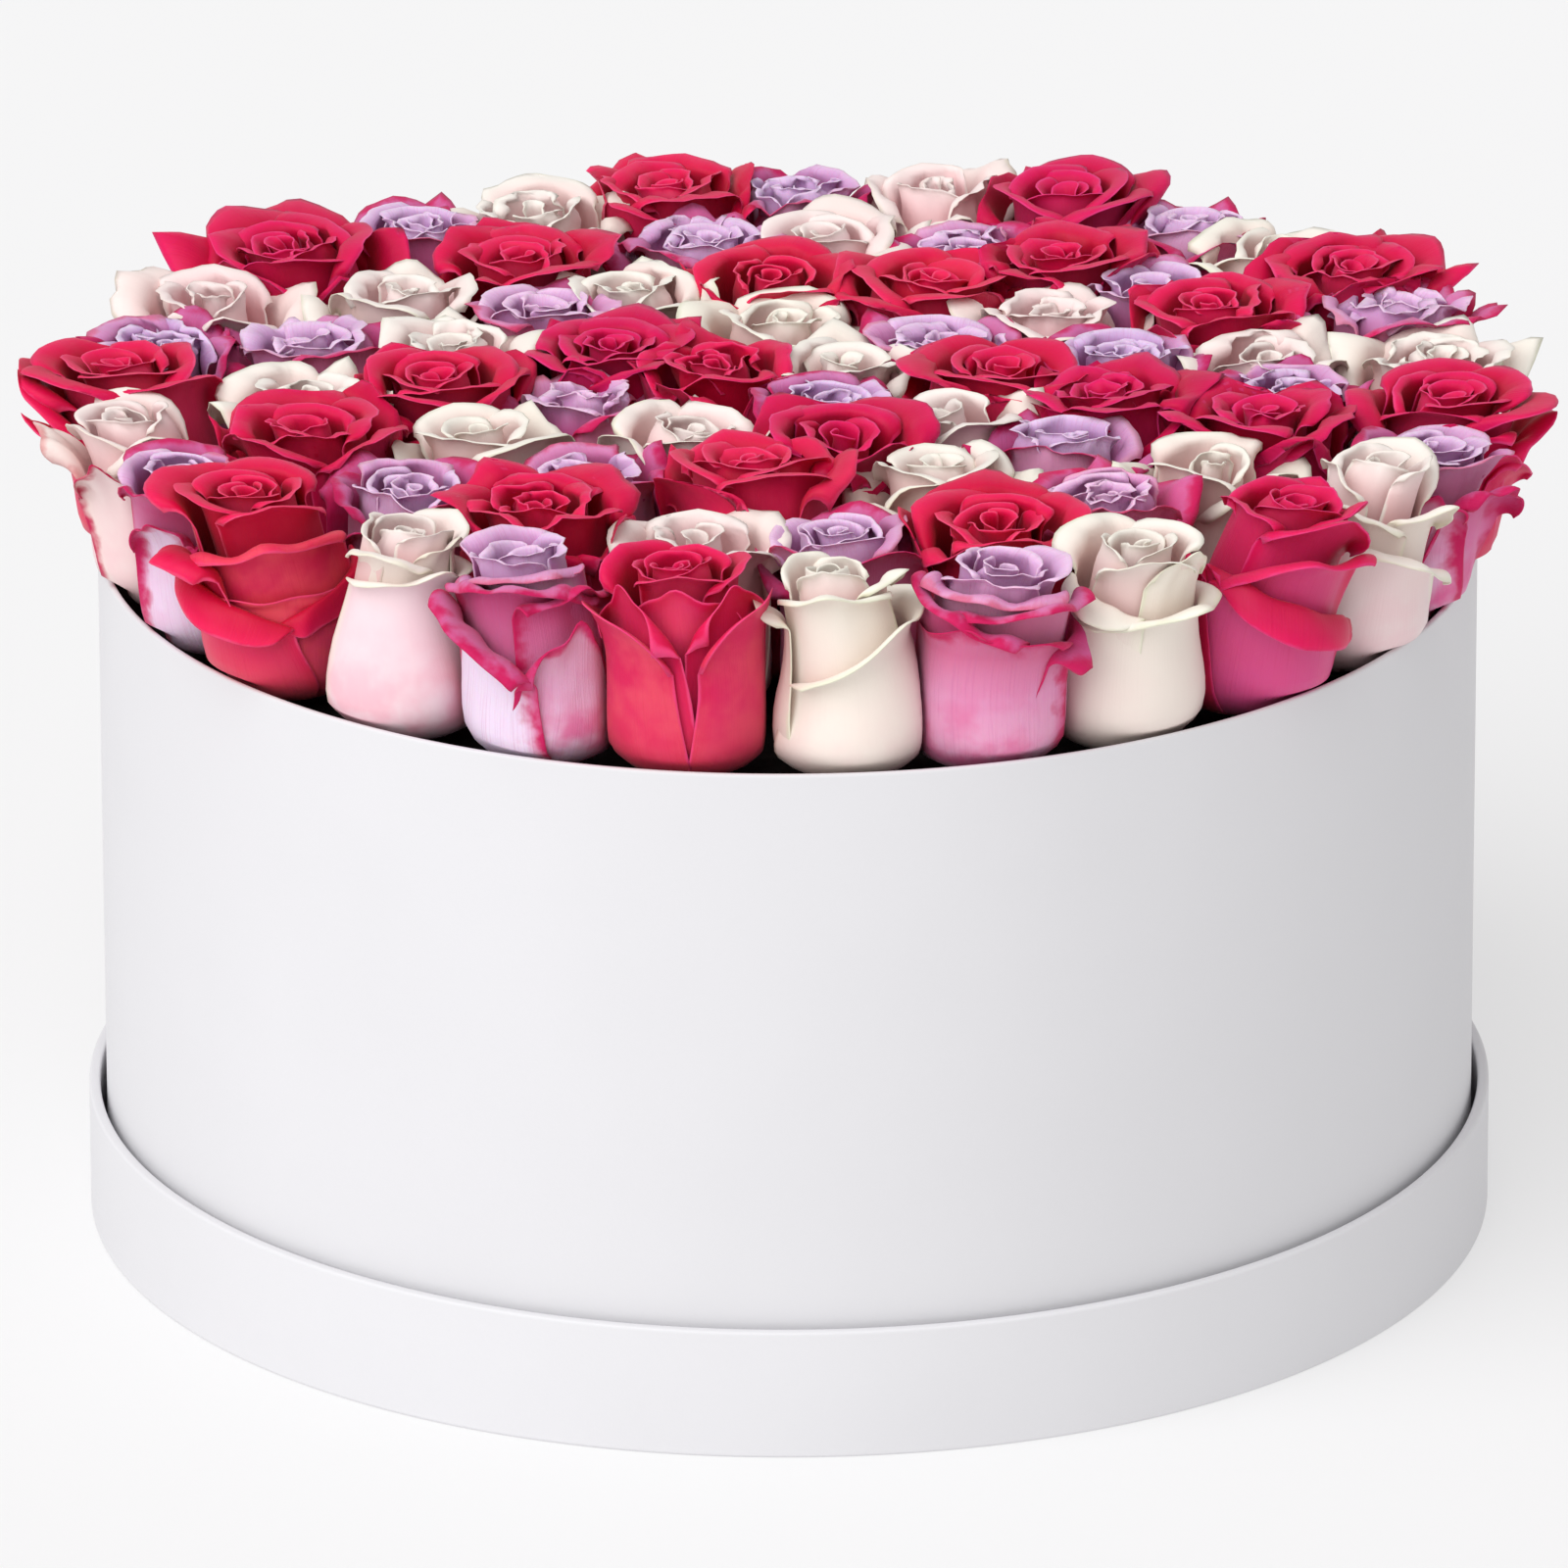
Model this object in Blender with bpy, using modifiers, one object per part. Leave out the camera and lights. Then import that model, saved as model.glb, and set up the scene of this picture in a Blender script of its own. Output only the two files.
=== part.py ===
"""A round white card box filled with roses, standing in its own upturned lid.

Metres, +Z up. The origin is the middle of the underside, where the box stands.
Run with: blender --background --python part.py
"""

import collections
import math
import random

import bmesh
import bpy
import numpy as np

# Clearance that pieces lying against each other keep
GAP = 0.0003
HALF_GAP = 0.6 * GAP

# Box body: a card tube with a round panel glued in its foot
BODY_RADIUS = 0.225
BODY_TOP = 0.230
BODY_CARD = 0.0025
BASE_CARD = 0.003

# Upturned lid: a card band round a round panel
LID_RADIUS = 0.2308
LID_CARD = 0.004
LID_HEIGHT = 0.043
PANEL_CARD = 0.003

# Black film that keeps the card dry, and the block of foam in it
FILM = 0.0008
FILM_BELOW_RIM = 0.008
FOAM_BELOW_RIM = 0.014

# Straight sides that stand for one turn of the box
ROUND_SIDES = 48

# Stems are cut short and stand in square holes
STEM_RADIUS = 0.0032
STEM_LENGTH = 0.066
HOLE_HALF_WIDTH = 0.0036
HOLE_END_ROOM = 0.003

# The calyx lies just over the foam, and the blooms stand up from it
CALYX_ABOVE_FOAM = 0.003
BLOOM_HEIGHT = {"R": 0.074, "W": 0.070, "L": 0.070}
HEIGHT_SPREAD = 0.0025

# Where the roses stand. Each ring is a radius and one word for each rose: the letter of its
# colour, and its direction in degrees, 0 at the right and 90 at the back of the box
RINGS = (
    (0.208, "W190 L204 R218 W234 L248 R261 W275 L287 W300 R315 W330 L342 R354 W9"
            " L20 R31 W42 L52 R63 W76 L89 R100 W112 L125 R139 W153 L166 R178"),
    (0.155, "W183 R199 L219 R241 W260 L277 R294 L309 W327 R343 L357 W12 R27 L40"
            " R53 L66 W83 L99 R122 W143 L163"),
    (0.107, "R179 W209 L236 R265 W297 L321 R347 L14 W38 R67 R93 W115 L136 W159"),
    (0.064, "L193 W235 R283 W329 R2 L34 W97 R150"),
    (0.022, "R139 W54 L299"),
)

# The bunch is a little wider from side to side than from front to back
STRETCH = (1.03, 0.97)

# How wide each kind of rose grows, which decides its share of the room
SIZES = {"R": 0.0265, "W": 0.0232, "L": 0.0222}
SPREAD_WHERE_FREE = 1.12
FAR_APART = 0.106
COLOURS = {"R": "red", "W": "white", "L": "lavender"}

# Pressed together, roses even out the room between them
ROOM_RADIUS = 0.230
ROOM_STEP = 0.002
EVENING_ROUNDS = 2
EVENING_SHARE = 0.30

# The stems stand closer than the blooms, by this share at the edge of the box
FAN = 0.045

# Outer petals of the roses round the edge lean out over the rim
OVERHANG = {"R": 0.014, "W": 0.006, "L": 0.007}
EDGE_RING = 0.180

# Lower down, where the rim is close, they stay inside the box
BELLY_LIMIT = BODY_RADIUS - BODY_CARD - 0.003

# Neighbours of one colour are joined until this many nodes of roses are left
ROSE_NODES = 54
MOST_JOINED = 3
JOIN_WITHIN = 0.064
JOIN_OVERLAP = 0.003
PRESSED = 0.8

# A bloom is a sphere of this many sides, whose levels become the edges and the hollows of
# its layers of petals. Each level has its reach and its height as shares of the whole, the
# petals round it, the side that the first one starts at, how far each petal swells from its
# tucked edge to its free edge, and how far its tip rises
SIDES = 12
Level = collections.namedtuple("Level", "reach height petals start swell rise")
BELLY = Level(0.86, 0.17, 4, 0, 0.06, 0.00)
NECK = Level(0.86, 0.58, 4, 0, 0.16, 0.00)
OUTER_EDGE = Level(0.97, 0.80, 4, 0, 0.08, 0.12)
LEVELS = (
    BELLY,
    NECK,
    OUTER_EDGE,
    Level(0.64, 0.74, 4, 0, 0.06, 0.00),
    Level(0.69, 0.91, 4, 2, 0.12, 0.06),
    Level(0.34, 0.80, 3, 1, 0.10, 0.00),
    Level(0.38, 0.95, 3, 3, 0.22, 0.05),
)
HEART = 0.82
TIP_LEAN = 0.6
UNEVEN = 0.02
SAME_SPOT = 0.000001

DRAWS = random.Random(11)

Rose = collections.namedtuple("Rose", "colour number middle foot walls mates turn height")


def clear_scene():
    for thing in list(bpy.data.objects):
        bpy.data.objects.remove(thing, do_unlink=True)


def new_collection(name):
    made = bpy.data.collections.new(name)
    bpy.context.scene.collection.children.link(made)
    return made


def new_finish(name, colour, roughness):
    """A plain finish: a Principled shader with its colour and roughness."""
    finish = bpy.data.materials.new(name)
    finish.use_nodes = True
    shader = finish.node_tree.nodes["Principled BSDF"]
    shader.inputs["Base Color"].default_value = (*colour, 1.0)
    shader.inputs["Roughness"].default_value = roughness
    shader.inputs["Metallic"].default_value = 0.0
    return finish


def new_object(name, mesh, collection, finish=None):
    made = bpy.data.objects.new(name, mesh)
    collection.objects.link(made)
    if finish:
        mesh.materials.append(finish)
    return made


def turned(name, profile, closed, collection, finish):
    """A turned piece: its profile of (radius, height) points, swept once round the Z axis."""
    mesh = bpy.data.meshes.new(name)
    points = [(radius, 0.0, height) for radius, height in profile]
    edges = [(i, i + 1) for i in range(len(points) - 1)]
    if closed:
        edges.append((len(points) - 1, 0))
    mesh.from_pydata(points, edges, [])
    made = new_object(name, mesh, collection, finish)
    screw = made.modifiers.new("turned", "SCREW")
    screw.steps = screw.render_steps = ROUND_SIDES
    screw.use_merge_vertices = True
    screw.merge_threshold = 0.00001
    screw.use_smooth_shade = True
    return made


def tube(name, outer, card, bottom, top, collection, finish):
    """A plain band of card, open at both ends."""
    profile = ((outer, top), (outer, bottom), (outer - card, bottom), (outer - card, top))
    return turned(name, profile, True, collection, finish)


def disc(name, radius, bottom, top, collection, finish):
    profile = ((0.0, top), (radius, top), (radius, bottom), (0.0, bottom))
    return turned(name, profile, False, collection, finish)


def box_and_lid(collection):
    """The body stands on the lid's panel, inside its band."""
    card = new_finish("white_card", (0.86, 0.86, 0.87), 0.55)
    tube("lid_band", LID_RADIUS, LID_CARD, 0.0, LID_HEIGHT, collection, card)
    disc("lid_panel", LID_RADIUS - LID_CARD - GAP, 0.0, PANEL_CARD, collection, card)
    foot = PANEL_CARD + GAP
    tube("box_wall", BODY_RADIUS, BODY_CARD, foot, BODY_TOP, collection, card)
    inside = BODY_RADIUS - BODY_CARD - GAP
    disc("box_base", inside, foot, foot + BASE_CARD, collection, card)
    return inside, foot + BASE_CARD + GAP


def film_cup(outside, bottom, collection):
    """The film that lines the box, as a thin cup open at the top."""
    film = new_finish("black_film", (0.012, 0.011, 0.012), 0.35)
    inside = outside - FILM
    top = BODY_TOP - FILM_BELOW_RIM
    profile = (
        (0.0, bottom + FILM),
        (inside, bottom + FILM),
        (inside, top),
        (outside, top),
        (outside, bottom),
        (0.0, bottom),
    )
    turned("liner_film", profile, False, collection, film)
    return inside - GAP, bottom + FILM + GAP


def foam_block(radius, bottom, roses, collection, cutters):
    """One block of foam, with a plain square hole for each stem."""
    foam = new_finish("dark_foam", (0.022, 0.020, 0.019), 0.95)
    top = BODY_TOP - FOAM_BELOW_RIM
    block = disc("floral_foam", radius, bottom, top, collection, foam)
    holes = bmesh.new()
    floor = top + CALYX_ABOVE_FOAM - STEM_LENGTH - HOLE_END_ROOM
    # The cutters stand a little out of the foam
    depth = top - floor + HOLE_END_ROOM
    for rose in roses:
        corners = bmesh.ops.create_cube(holes, size=1.0)["verts"]
        bmesh.ops.scale(holes, vec=(2 * HOLE_HALF_WIDTH, 2 * HOLE_HALF_WIDTH, depth), verts=corners)
        bmesh.ops.translate(holes, vec=(*rose.foot, floor + depth / 2), verts=corners)
    mesh = bpy.data.meshes.new("stem_holes")
    holes.to_mesh(mesh)
    holes.free()
    cutter = new_object("stem_holes", mesh, cutters)
    cutter.hide_render = True
    cutter.display_type = "WIRE"
    cut = block.modifiers.new("stem_holes", "BOOLEAN")
    cut.operation = "DIFFERENCE"
    cut.object = cutter


def planned_roses():
    """The colours and the middles of the roses, ring by ring."""
    colours, middles = [], []
    for radius, words in RINGS:
        for word in words.split():
            direction = math.radians(float(word[1:]))
            colours.append(word[0])
            middles.append((radius * math.cos(direction), radius * math.sin(direction)))
    return colours, np.array(middles) * STRETCH


def evened(colours, middles):
    """Moves each rose part of the way to the middle of the room it has."""
    line = np.arange(-ROOM_RADIUS, ROOM_RADIUS, ROOM_STEP)
    spots = np.array([(x, y) for x in line for y in line if math.hypot(x, y) < ROOM_RADIUS])
    sizes = np.array([SIZES[colour] for colour in colours])
    for _ in range(EVENING_ROUNDS):
        away = ((spots[:, None] - middles[None]) ** 2).sum(axis=2) - sizes**2
        owner = away.argmin(axis=1)
        room = np.array([spots[owner == i].mean(axis=0) for i in range(len(middles))])
        middles = middles + EVENING_SHARE * (room - middles)
    return middles


def joined_groups(colours, middles):
    """Joins the closest neighbours of one colour, until few enough nodes are left."""
    group = {i: [i] for i in range(len(colours))}
    pairs = []
    for i in range(len(colours)):
        for j in range(i):
            apart = math.dist(middles[i], middles[j])
            if colours[i] == colours[j] and apart < JOIN_WITHIN:
                pairs.append((apart, i, j))
    for _, i, j in sorted(pairs):
        together = len({id(members) for members in group.values()})
        if together == ROSE_NODES:
            break
        if group[i] is group[j] or len(group[i]) + len(group[j]) > MOST_JOINED:
            continue
        both = group[i] + group[j]
        for member in both:
            group[member] = both
    return group


def walls_of(i, colours, middles, group):
    """The flat walls of one rose's room, one towards each neighbour, as a direction and a
    distance from the rose's middle. Joined roses reach a little past the wall they share."""
    walls = []
    for j, other in enumerate(middles):
        apart = math.dist(middles[i], other)
        if j == i or apart > FAR_APART:
            continue
        share = (SIZES[colours[i]] ** 2 - SIZES[colours[j]] ** 2) / (2 * apart)
        spare = JOIN_OVERLAP if j in group[i] else -HALF_GAP
        walls.append(((other - middles[i]) / apart, apart / 2 + share + spare))
    return walls


def kept_in(walls, offset):
    """Pulls a point, given from the rose's middle, back inside the walls."""
    share = 1.0
    for direction, distance in walls:
        along = float(offset @ direction)
        if along > distance:
            share = min(share, distance / along)
    return offset * share


def grown_roses():
    """All the roses, with their places, the walls of their rooms and their draws."""
    colours, middles = planned_roses()
    middles = evened(colours, middles)
    group = joined_groups(colours, middles)
    counts = collections.Counter()
    roses = []
    for i, (colour, middle) in enumerate(zip(colours, middles)):
        counts[colour] += 1
        out = np.linalg.norm(middle) / RINGS[0][0]
        mates = [
            (middles[j] - middle) / math.dist(middles[j], middle) for j in group[i] if j != i
        ]
        turn = DRAWS.uniform(0, math.tau)
        if mates:
            turn = math.atan2(mates[0][1], mates[0][0])
        height = BLOOM_HEIGHT[colour] + DRAWS.uniform(-HEIGHT_SPREAD, HEIGHT_SPREAD)
        roses.append(
            Rose(
                colour,
                counts[colour],
                middle,
                middle * (1 - FAN * out**2),
                walls_of(i, colours, middles, group),
                mates,
                turn,
                height,
            )
        )
    return roses, group


def petal_place(level, side):
    """How far round its petal this side lies, from 0 at the tucked edge, and how near the tip."""
    sides = SIDES // level.petals
    along = ((side - level.start) % sides) / sides
    return along, 1 - abs(2 * along - TIP_LEAN)


def petal_point(rose, level, side, foot_height):
    """Where one side of one level lies, in metres."""
    angle = rose.turn + math.tau * side / SIDES
    direction = np.array((math.cos(angle), math.sin(angle)))
    along, tip = petal_place(level, side)
    outside = level in (BELLY, NECK, OUTER_EDGE)
    pressed = outside and any(float(direction @ mate) > PRESSED for mate in rose.mates)
    share = level.reach * (1 + level.swell * (along - 0.5)) + DRAWS.uniform(-UNEVEN, UNEVEN)
    if pressed:
        share = 1.0
    full = JOIN_WITHIN if pressed else SPREAD_WHERE_FREE * SIZES[rose.colour]
    reach = share * np.linalg.norm(kept_in(rose.walls, direction * full))
    out = np.linalg.norm(rose.middle)
    if outside and out > EDGE_RING:
        lean = OVERHANG[rose.colour] * level.height / OUTER_EDGE.height
        reach += lean * max(0.0, float(direction @ rose.middle) / out)
    rise = level.height + level.rise * tip + DRAWS.uniform(-UNEVEN, UNEVEN) / 2
    leaning = (rose.foot - rose.middle) * (1 - rise)
    spot = rose.middle + leaning + direction * reach
    if level is BELLY:
        spot *= min(1.0, BELLY_LIMIT / np.linalg.norm(spot))
    x, y = rose.middle + kept_in(rose.walls, spot - rose.middle)
    return x, y, foot_height + rise * rose.height


def bloom(rose, foot_height, collection, finish):
    """One rose: a sphere whose poles become the tip of the stem and the heart of the bloom,
    and whose levels become the calyx and the layers of petals."""
    sphere = bmesh.new()
    levels = len(LEVELS) + 2
    bmesh.ops.create_uvsphere(sphere, u_segments=SIDES, v_segments=levels, radius=1.0)
    rings = collections.defaultdict(list)
    for corner in sphere.verts:
        level = round((1 - math.acos(max(-1.0, min(1.0, corner.co.z))) / math.pi) * levels)
        side = round(math.atan2(corner.co.y, corner.co.x) / math.tau * SIDES) % SIDES
        rings[level].append((side, corner))
    for level in sorted(rings):
        for side, corner in sorted(rings[level], key=lambda found: found[0]):
            if level == 0:
                corner.co = (*rose.foot, foot_height - STEM_LENGTH)
            elif level == 1:
                # Every second corner falls on its neighbour, so that the slim stem has few sides
                angle = rose.turn + math.tau * (side - side % 2) / SIDES
                x = rose.foot[0] + STEM_RADIUS * math.cos(angle)
                y = rose.foot[1] + STEM_RADIUS * math.sin(angle)
                corner.co = (x, y, foot_height)
            elif level == levels:
                corner.co = (*rose.middle, foot_height + HEART * rose.height)
            else:
                corner.co = petal_point(rose, LEVELS[level - 2], side, foot_height)
    bmesh.ops.remove_doubles(sphere, verts=sphere.verts, dist=SAME_SPOT)
    bmesh.ops.triangulate(sphere, faces=sphere.faces[:])
    name = f"rose_{COLOURS[rose.colour]}_{rose.number:02d}"
    mesh = bpy.data.meshes.new(name)
    sphere.to_mesh(mesh)
    sphere.free()
    return new_object(name, mesh, collection, finish)


def joined(blooms, collection):
    """Joins the blooms of one node in one closed body, under one name."""
    first, others = blooms[0], blooms[1:]
    helper = new_collection("joining")
    for other in others:
        collection.objects.unlink(other)
        helper.objects.link(other)
    union = first.modifiers.new("joined", "BOOLEAN")
    union.operation = "UNION"
    union.operand_type = "COLLECTION"
    union.collection = helper
    bpy.context.view_layer.update()
    scene_now = bpy.context.evaluated_depsgraph_get()
    mesh = bpy.data.meshes.new_from_object(first.evaluated_get(scene_now))
    first.modifiers.clear()
    first.data = mesh
    numbers = [other.name[-2:] for other in others]
    first.name = "_".join([first.name, *numbers])
    for other in others:
        bpy.data.objects.remove(other, do_unlink=True)
    bpy.data.collections.remove(helper)


def all_blooms(roses, group, foot_height, collection):
    finishes = {
        "R": new_finish("red_petals", (0.62, 0.012, 0.075), 0.55),
        "W": new_finish("white_petals", (0.86, 0.80, 0.68), 0.55),
        "L": new_finish("lavender_petals", (0.44, 0.27, 0.56), 0.55),
    }
    made = [bloom(rose, foot_height, collection, finishes[rose.colour]) for rose in roses]
    for i, members in group.items():
        if len(members) > 1 and i == min(members):
            joined([made[member] for member in sorted(members)], collection)


def main():
    clear_scene()
    collection = new_collection("box_of_roses")
    cutters = new_collection("cutters")
    roses, group = grown_roses()
    inside, floor = box_and_lid(collection)
    inside, floor = film_cup(inside, floor, collection)
    foam_block(inside, floor, roses, collection, cutters)
    foot_height = BODY_TOP - FOAM_BELOW_RIM + CALYX_ABOVE_FOAM
    all_blooms(roses, group, foot_height, collection)


main()
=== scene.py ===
# %% [markdown]
# # A round box of roses
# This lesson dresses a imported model: a white card hat box that stands in its own upturned lid and is
# filled with fresh roses in three colours. The plain solids are loaded first and never moved. Each one is
# then replaced by a finer mesh that keeps its place and its form, or is given a better finish.

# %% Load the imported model
import collections
import math

import bpy
import numpy as np
from mathutils import Matrix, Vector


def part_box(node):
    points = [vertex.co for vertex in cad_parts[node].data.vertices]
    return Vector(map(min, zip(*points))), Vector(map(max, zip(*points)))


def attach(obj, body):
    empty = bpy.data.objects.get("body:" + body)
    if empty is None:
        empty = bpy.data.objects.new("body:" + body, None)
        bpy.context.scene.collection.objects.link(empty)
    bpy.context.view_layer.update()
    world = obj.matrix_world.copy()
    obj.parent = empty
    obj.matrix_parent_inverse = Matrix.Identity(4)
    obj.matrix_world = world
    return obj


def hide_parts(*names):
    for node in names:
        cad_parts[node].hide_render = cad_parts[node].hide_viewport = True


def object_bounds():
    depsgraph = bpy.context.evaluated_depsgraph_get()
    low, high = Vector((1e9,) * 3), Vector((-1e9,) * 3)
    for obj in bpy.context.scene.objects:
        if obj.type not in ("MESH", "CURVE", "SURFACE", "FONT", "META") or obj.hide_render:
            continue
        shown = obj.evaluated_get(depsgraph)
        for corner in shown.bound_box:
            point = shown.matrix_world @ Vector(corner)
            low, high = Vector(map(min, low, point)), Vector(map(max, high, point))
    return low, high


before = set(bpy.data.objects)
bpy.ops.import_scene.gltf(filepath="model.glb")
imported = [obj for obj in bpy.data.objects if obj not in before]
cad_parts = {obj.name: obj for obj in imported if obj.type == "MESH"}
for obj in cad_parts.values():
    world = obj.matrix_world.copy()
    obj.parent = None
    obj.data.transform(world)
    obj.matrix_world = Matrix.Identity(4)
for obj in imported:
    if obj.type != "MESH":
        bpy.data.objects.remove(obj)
cad_low, cad_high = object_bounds()
print("size of the plain model in mm:", [round(1000 * side) for side in cad_high - cad_low])

# %% [markdown]
# ## The camera
# The picture was taken from a long way off with a long lens, which is why the box's far rim looks almost
# as wide as its near rim. A camera in Blender needs a place, a direction and a lens. Its direction is
# built here from three angles, as a photographer would set them on a tripod head: how far it looks down,
# how far it is turned aside, and how far it is tipped over.

# %% Place the camera
CAMERA_PLACE = (-0.0208, -5.3916, 2.1743)
LOOK_DOWN = 0.3604
TURN_ASIDE = 0.0036
TIP_OVER = -0.0027
SENSOR = 36.0
LENS = 403.7
FAR_ENOUGH = 100.0


def camera_axes():
    """The camera's right, up and backward directions, in the model's own frame."""
    cos_down, sin_down = math.cos(LOOK_DOWN), math.sin(LOOK_DOWN)
    cos_turn, sin_turn = math.cos(TURN_ASIDE), math.sin(TURN_ASIDE)
    ahead = np.array((sin_turn * cos_down, cos_turn * cos_down, -sin_down))
    level = np.array((cos_turn, -sin_turn, 0.0))
    upward = np.cross(level, ahead)
    right = level * math.cos(TIP_OVER) + upward * math.sin(TIP_OVER)
    top = upward * math.cos(TIP_OVER) - level * math.sin(TIP_OVER)
    return right, top, -ahead


def add_camera():
    """The camera of the picture, made the scene's own."""
    camera = bpy.data.objects.new("camera", bpy.data.cameras.new("camera"))
    bpy.context.scene.collection.objects.link(camera)
    matrix = np.identity(4)
    matrix[:3, :3] = np.array(camera_axes()).T
    matrix[:3, 3] = CAMERA_PLACE
    camera.matrix_world = Matrix(matrix.tolist())
    camera.data.sensor_width = SENSOR
    camera.data.lens = LENS
    camera.data.clip_end = FAR_ENOUGH
    bpy.context.scene.camera = camera
    return camera


camera = add_camera()
print("camera at", [round(value, 2) for value in camera.matrix_world.translation])

# %% [markdown]
# ## Helpers for finishes
# Every finish below is a Principled shader fed by small procedural patterns. Nodes can be placed by hand
# in the shader editor, but here a few short helpers add them, so that each finish reads as a recipe: where
# a colour comes from, what is mixed over it, and which fine pattern raises its surface.

# %% Start a finish and wire its nodes
def new_finish(name, roughness, **constants):
    """A material and its shader. What is the same all over is set on the shader's own sockets."""
    finish = bpy.data.materials.new(name)
    finish.use_nodes = True
    shader = finish.node_tree.nodes["Principled BSDF"]
    shader.inputs["Roughness"].default_value = roughness
    for socket, value in constants.items():
        shader.inputs[socket.replace("_", " ")].default_value = value
    return finish, shader


def wire(tree, source, target):
    """Feeds a socket from another socket, a number or a colour."""
    if isinstance(source, bpy.types.NodeSocket):
        tree.links.new(source, target)
    elif isinstance(source, tuple):
        target.default_value = (*source, 1.0)[: len(target.default_value)]
    else:
        target.default_value = source


def attribute(tree, name):
    """A number that the mesh carries at each of its points."""
    node = tree.nodes.new("ShaderNodeAttribute")
    node.attribute_name = name
    return node.outputs["Fac"]


def maths(tree, operation, first, second):
    """Two numbers joined by an operation of the Math node."""
    node = tree.nodes.new("ShaderNodeMath")
    node.operation = operation
    wire(tree, first, node.inputs[0])
    wire(tree, second, node.inputs[1])
    return node.outputs[0]


print("a finish can be started and wired")

# %% Make and mix colours
def ramp(tree, value, stops):
    """A colour that follows a value: each stop is a place from 0 to 1 and a colour."""
    node = tree.nodes.new("ShaderNodeValToRGB")
    wire(tree, value, node.inputs["Fac"])
    elements = node.color_ramp.elements
    while len(elements) < len(stops):
        elements.new(0.5)
    for element, (place, colour) in zip(elements, stops):
        element.position = place
        element.color = (*colour, 1.0)
    return node.outputs["Color"]


def fade(tree, value, low, high, bottom=0.0, top=1.0):
    """A smooth change from bottom to top while the value goes from low to high."""
    node = tree.nodes.new("ShaderNodeMapRange")
    node.interpolation_type = "SMOOTHSTEP"
    for socket, number in zip(node.inputs[1:5], (low, high, bottom, top)):
        wire(tree, number, socket)
    wire(tree, value, node.inputs["Value"])
    return node.outputs["Result"]


def mixed(tree, share, first, second, blend="MIX"):
    """One colour laid over another."""
    node = tree.nodes.new("ShaderNodeMix")
    node.data_type = "RGBA"
    node.blend_type = blend
    colours = [socket for socket in node.inputs if socket.type == "RGBA"]
    wire(tree, share, node.inputs["Factor"])
    wire(tree, first, colours[0])
    wire(tree, second, colours[1])
    return next(socket for socket in node.outputs if socket.type == "RGBA")


print("colours can follow a value and lie over each other")

# %% Make patterns and relief
def cloudy(tree, place, scale, detail=3.0):
    """A soft random pattern with values round one half."""
    node = tree.nodes.new("ShaderNodeTexNoise")
    wire(tree, place, node.inputs["Vector"])
    node.inputs["Scale"].default_value = scale
    node.inputs["Detail"].default_value = detail
    return node.outputs["Fac"]


def position(tree):
    """Each point's own place on its mesh, in metres."""
    return tree.nodes.new("ShaderNodeTexCoord").outputs["Object"]


def combined(tree, x, y, z):
    node = tree.nodes.new("ShaderNodeCombineXYZ")
    for socket, value in zip(node.inputs, (x, y, z)):
        wire(tree, value, socket)
    return node.outputs["Vector"]


def raised(tree, shader, height, depth):
    """A bump whose highest parts stand about this many metres over its lowest."""
    node = tree.nodes.new("ShaderNodeBump")
    node.inputs["Distance"].default_value = depth
    wire(tree, height, node.inputs["Height"])
    wire(tree, node.outputs["Normal"], shader.inputs["Normal"])


print("patterns and relief can be made")

# %% [markdown]
# ## The floor and the studio light
# A product picture on white needs two kinds of light. An even white world fills the shadows from all
# sides, and one broad lamp at the upper left models the form: it leaves the box's right side a little
# greyer. A sun lamp with a wide angle does this job better than an area lamp near the box, because it
# lights the floor evenly, so that the floor and the background become one white. The floor also has a
# painted glow: a weak white emission, though it is no lamp, that lifts the box's shadow on it and keeps it
# faint.

# %% The floor
FLOOR_HALF = 20.0
FLOOR_WHITE = (0.440, 0.438, 0.442)
FLOOR_DULLER = 0.995
FLOOR_PATCHES = 3.0
FLOOR_PAINTED_GLOW = 0.455


def add_floor():
    """A wide pale sheet under the box, which belongs to the stage and not to the model."""
    mesh = bpy.data.meshes.new("floor")
    corners = [(-1, -1, 0), (1, -1, 0), (1, 1, 0), (-1, 1, 0)]
    mesh.from_pydata([(FLOOR_HALF * x, FLOOR_HALF * y, z) for x, y, z in corners], [], [(0, 1, 2, 3)])
    floor = bpy.data.objects.new("floor", mesh)
    bpy.context.scene.collection.objects.link(floor)
    finish, shader = new_finish("floor_white", 0.9, Specular_IOR_Level=0.1)
    tree = finish.node_tree
    patches = cloudy(tree, position(tree), FLOOR_PATCHES)
    duller = tuple(FLOOR_DULLER * part for part in FLOOR_WHITE)
    white = ramp(tree, patches, [(0.3, FLOOR_WHITE), (0.7, duller)])
    wire(tree, white, shader.inputs["Base Color"])
    # Painted glow: a white emission on the floor, which is no lamp, lightens the box's shadow on it.
    wire(tree, (1.0, 1.0, 1.0), shader.inputs["Emission Color"])
    shader.inputs["Emission Strength"].default_value = FLOOR_PAINTED_GLOW
    mesh.materials.append(finish)


add_floor()
print("the floor is", 2 * FLOOR_HALF, "m wide")

# %% World and lamp
WORLD_LIGHT = 0.57
LAMP_LIGHT = 2.15
LAMP_SOFTNESS = math.radians(65)
LAMP_FROM = (-0.43, -0.56, 0.71)


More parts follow.
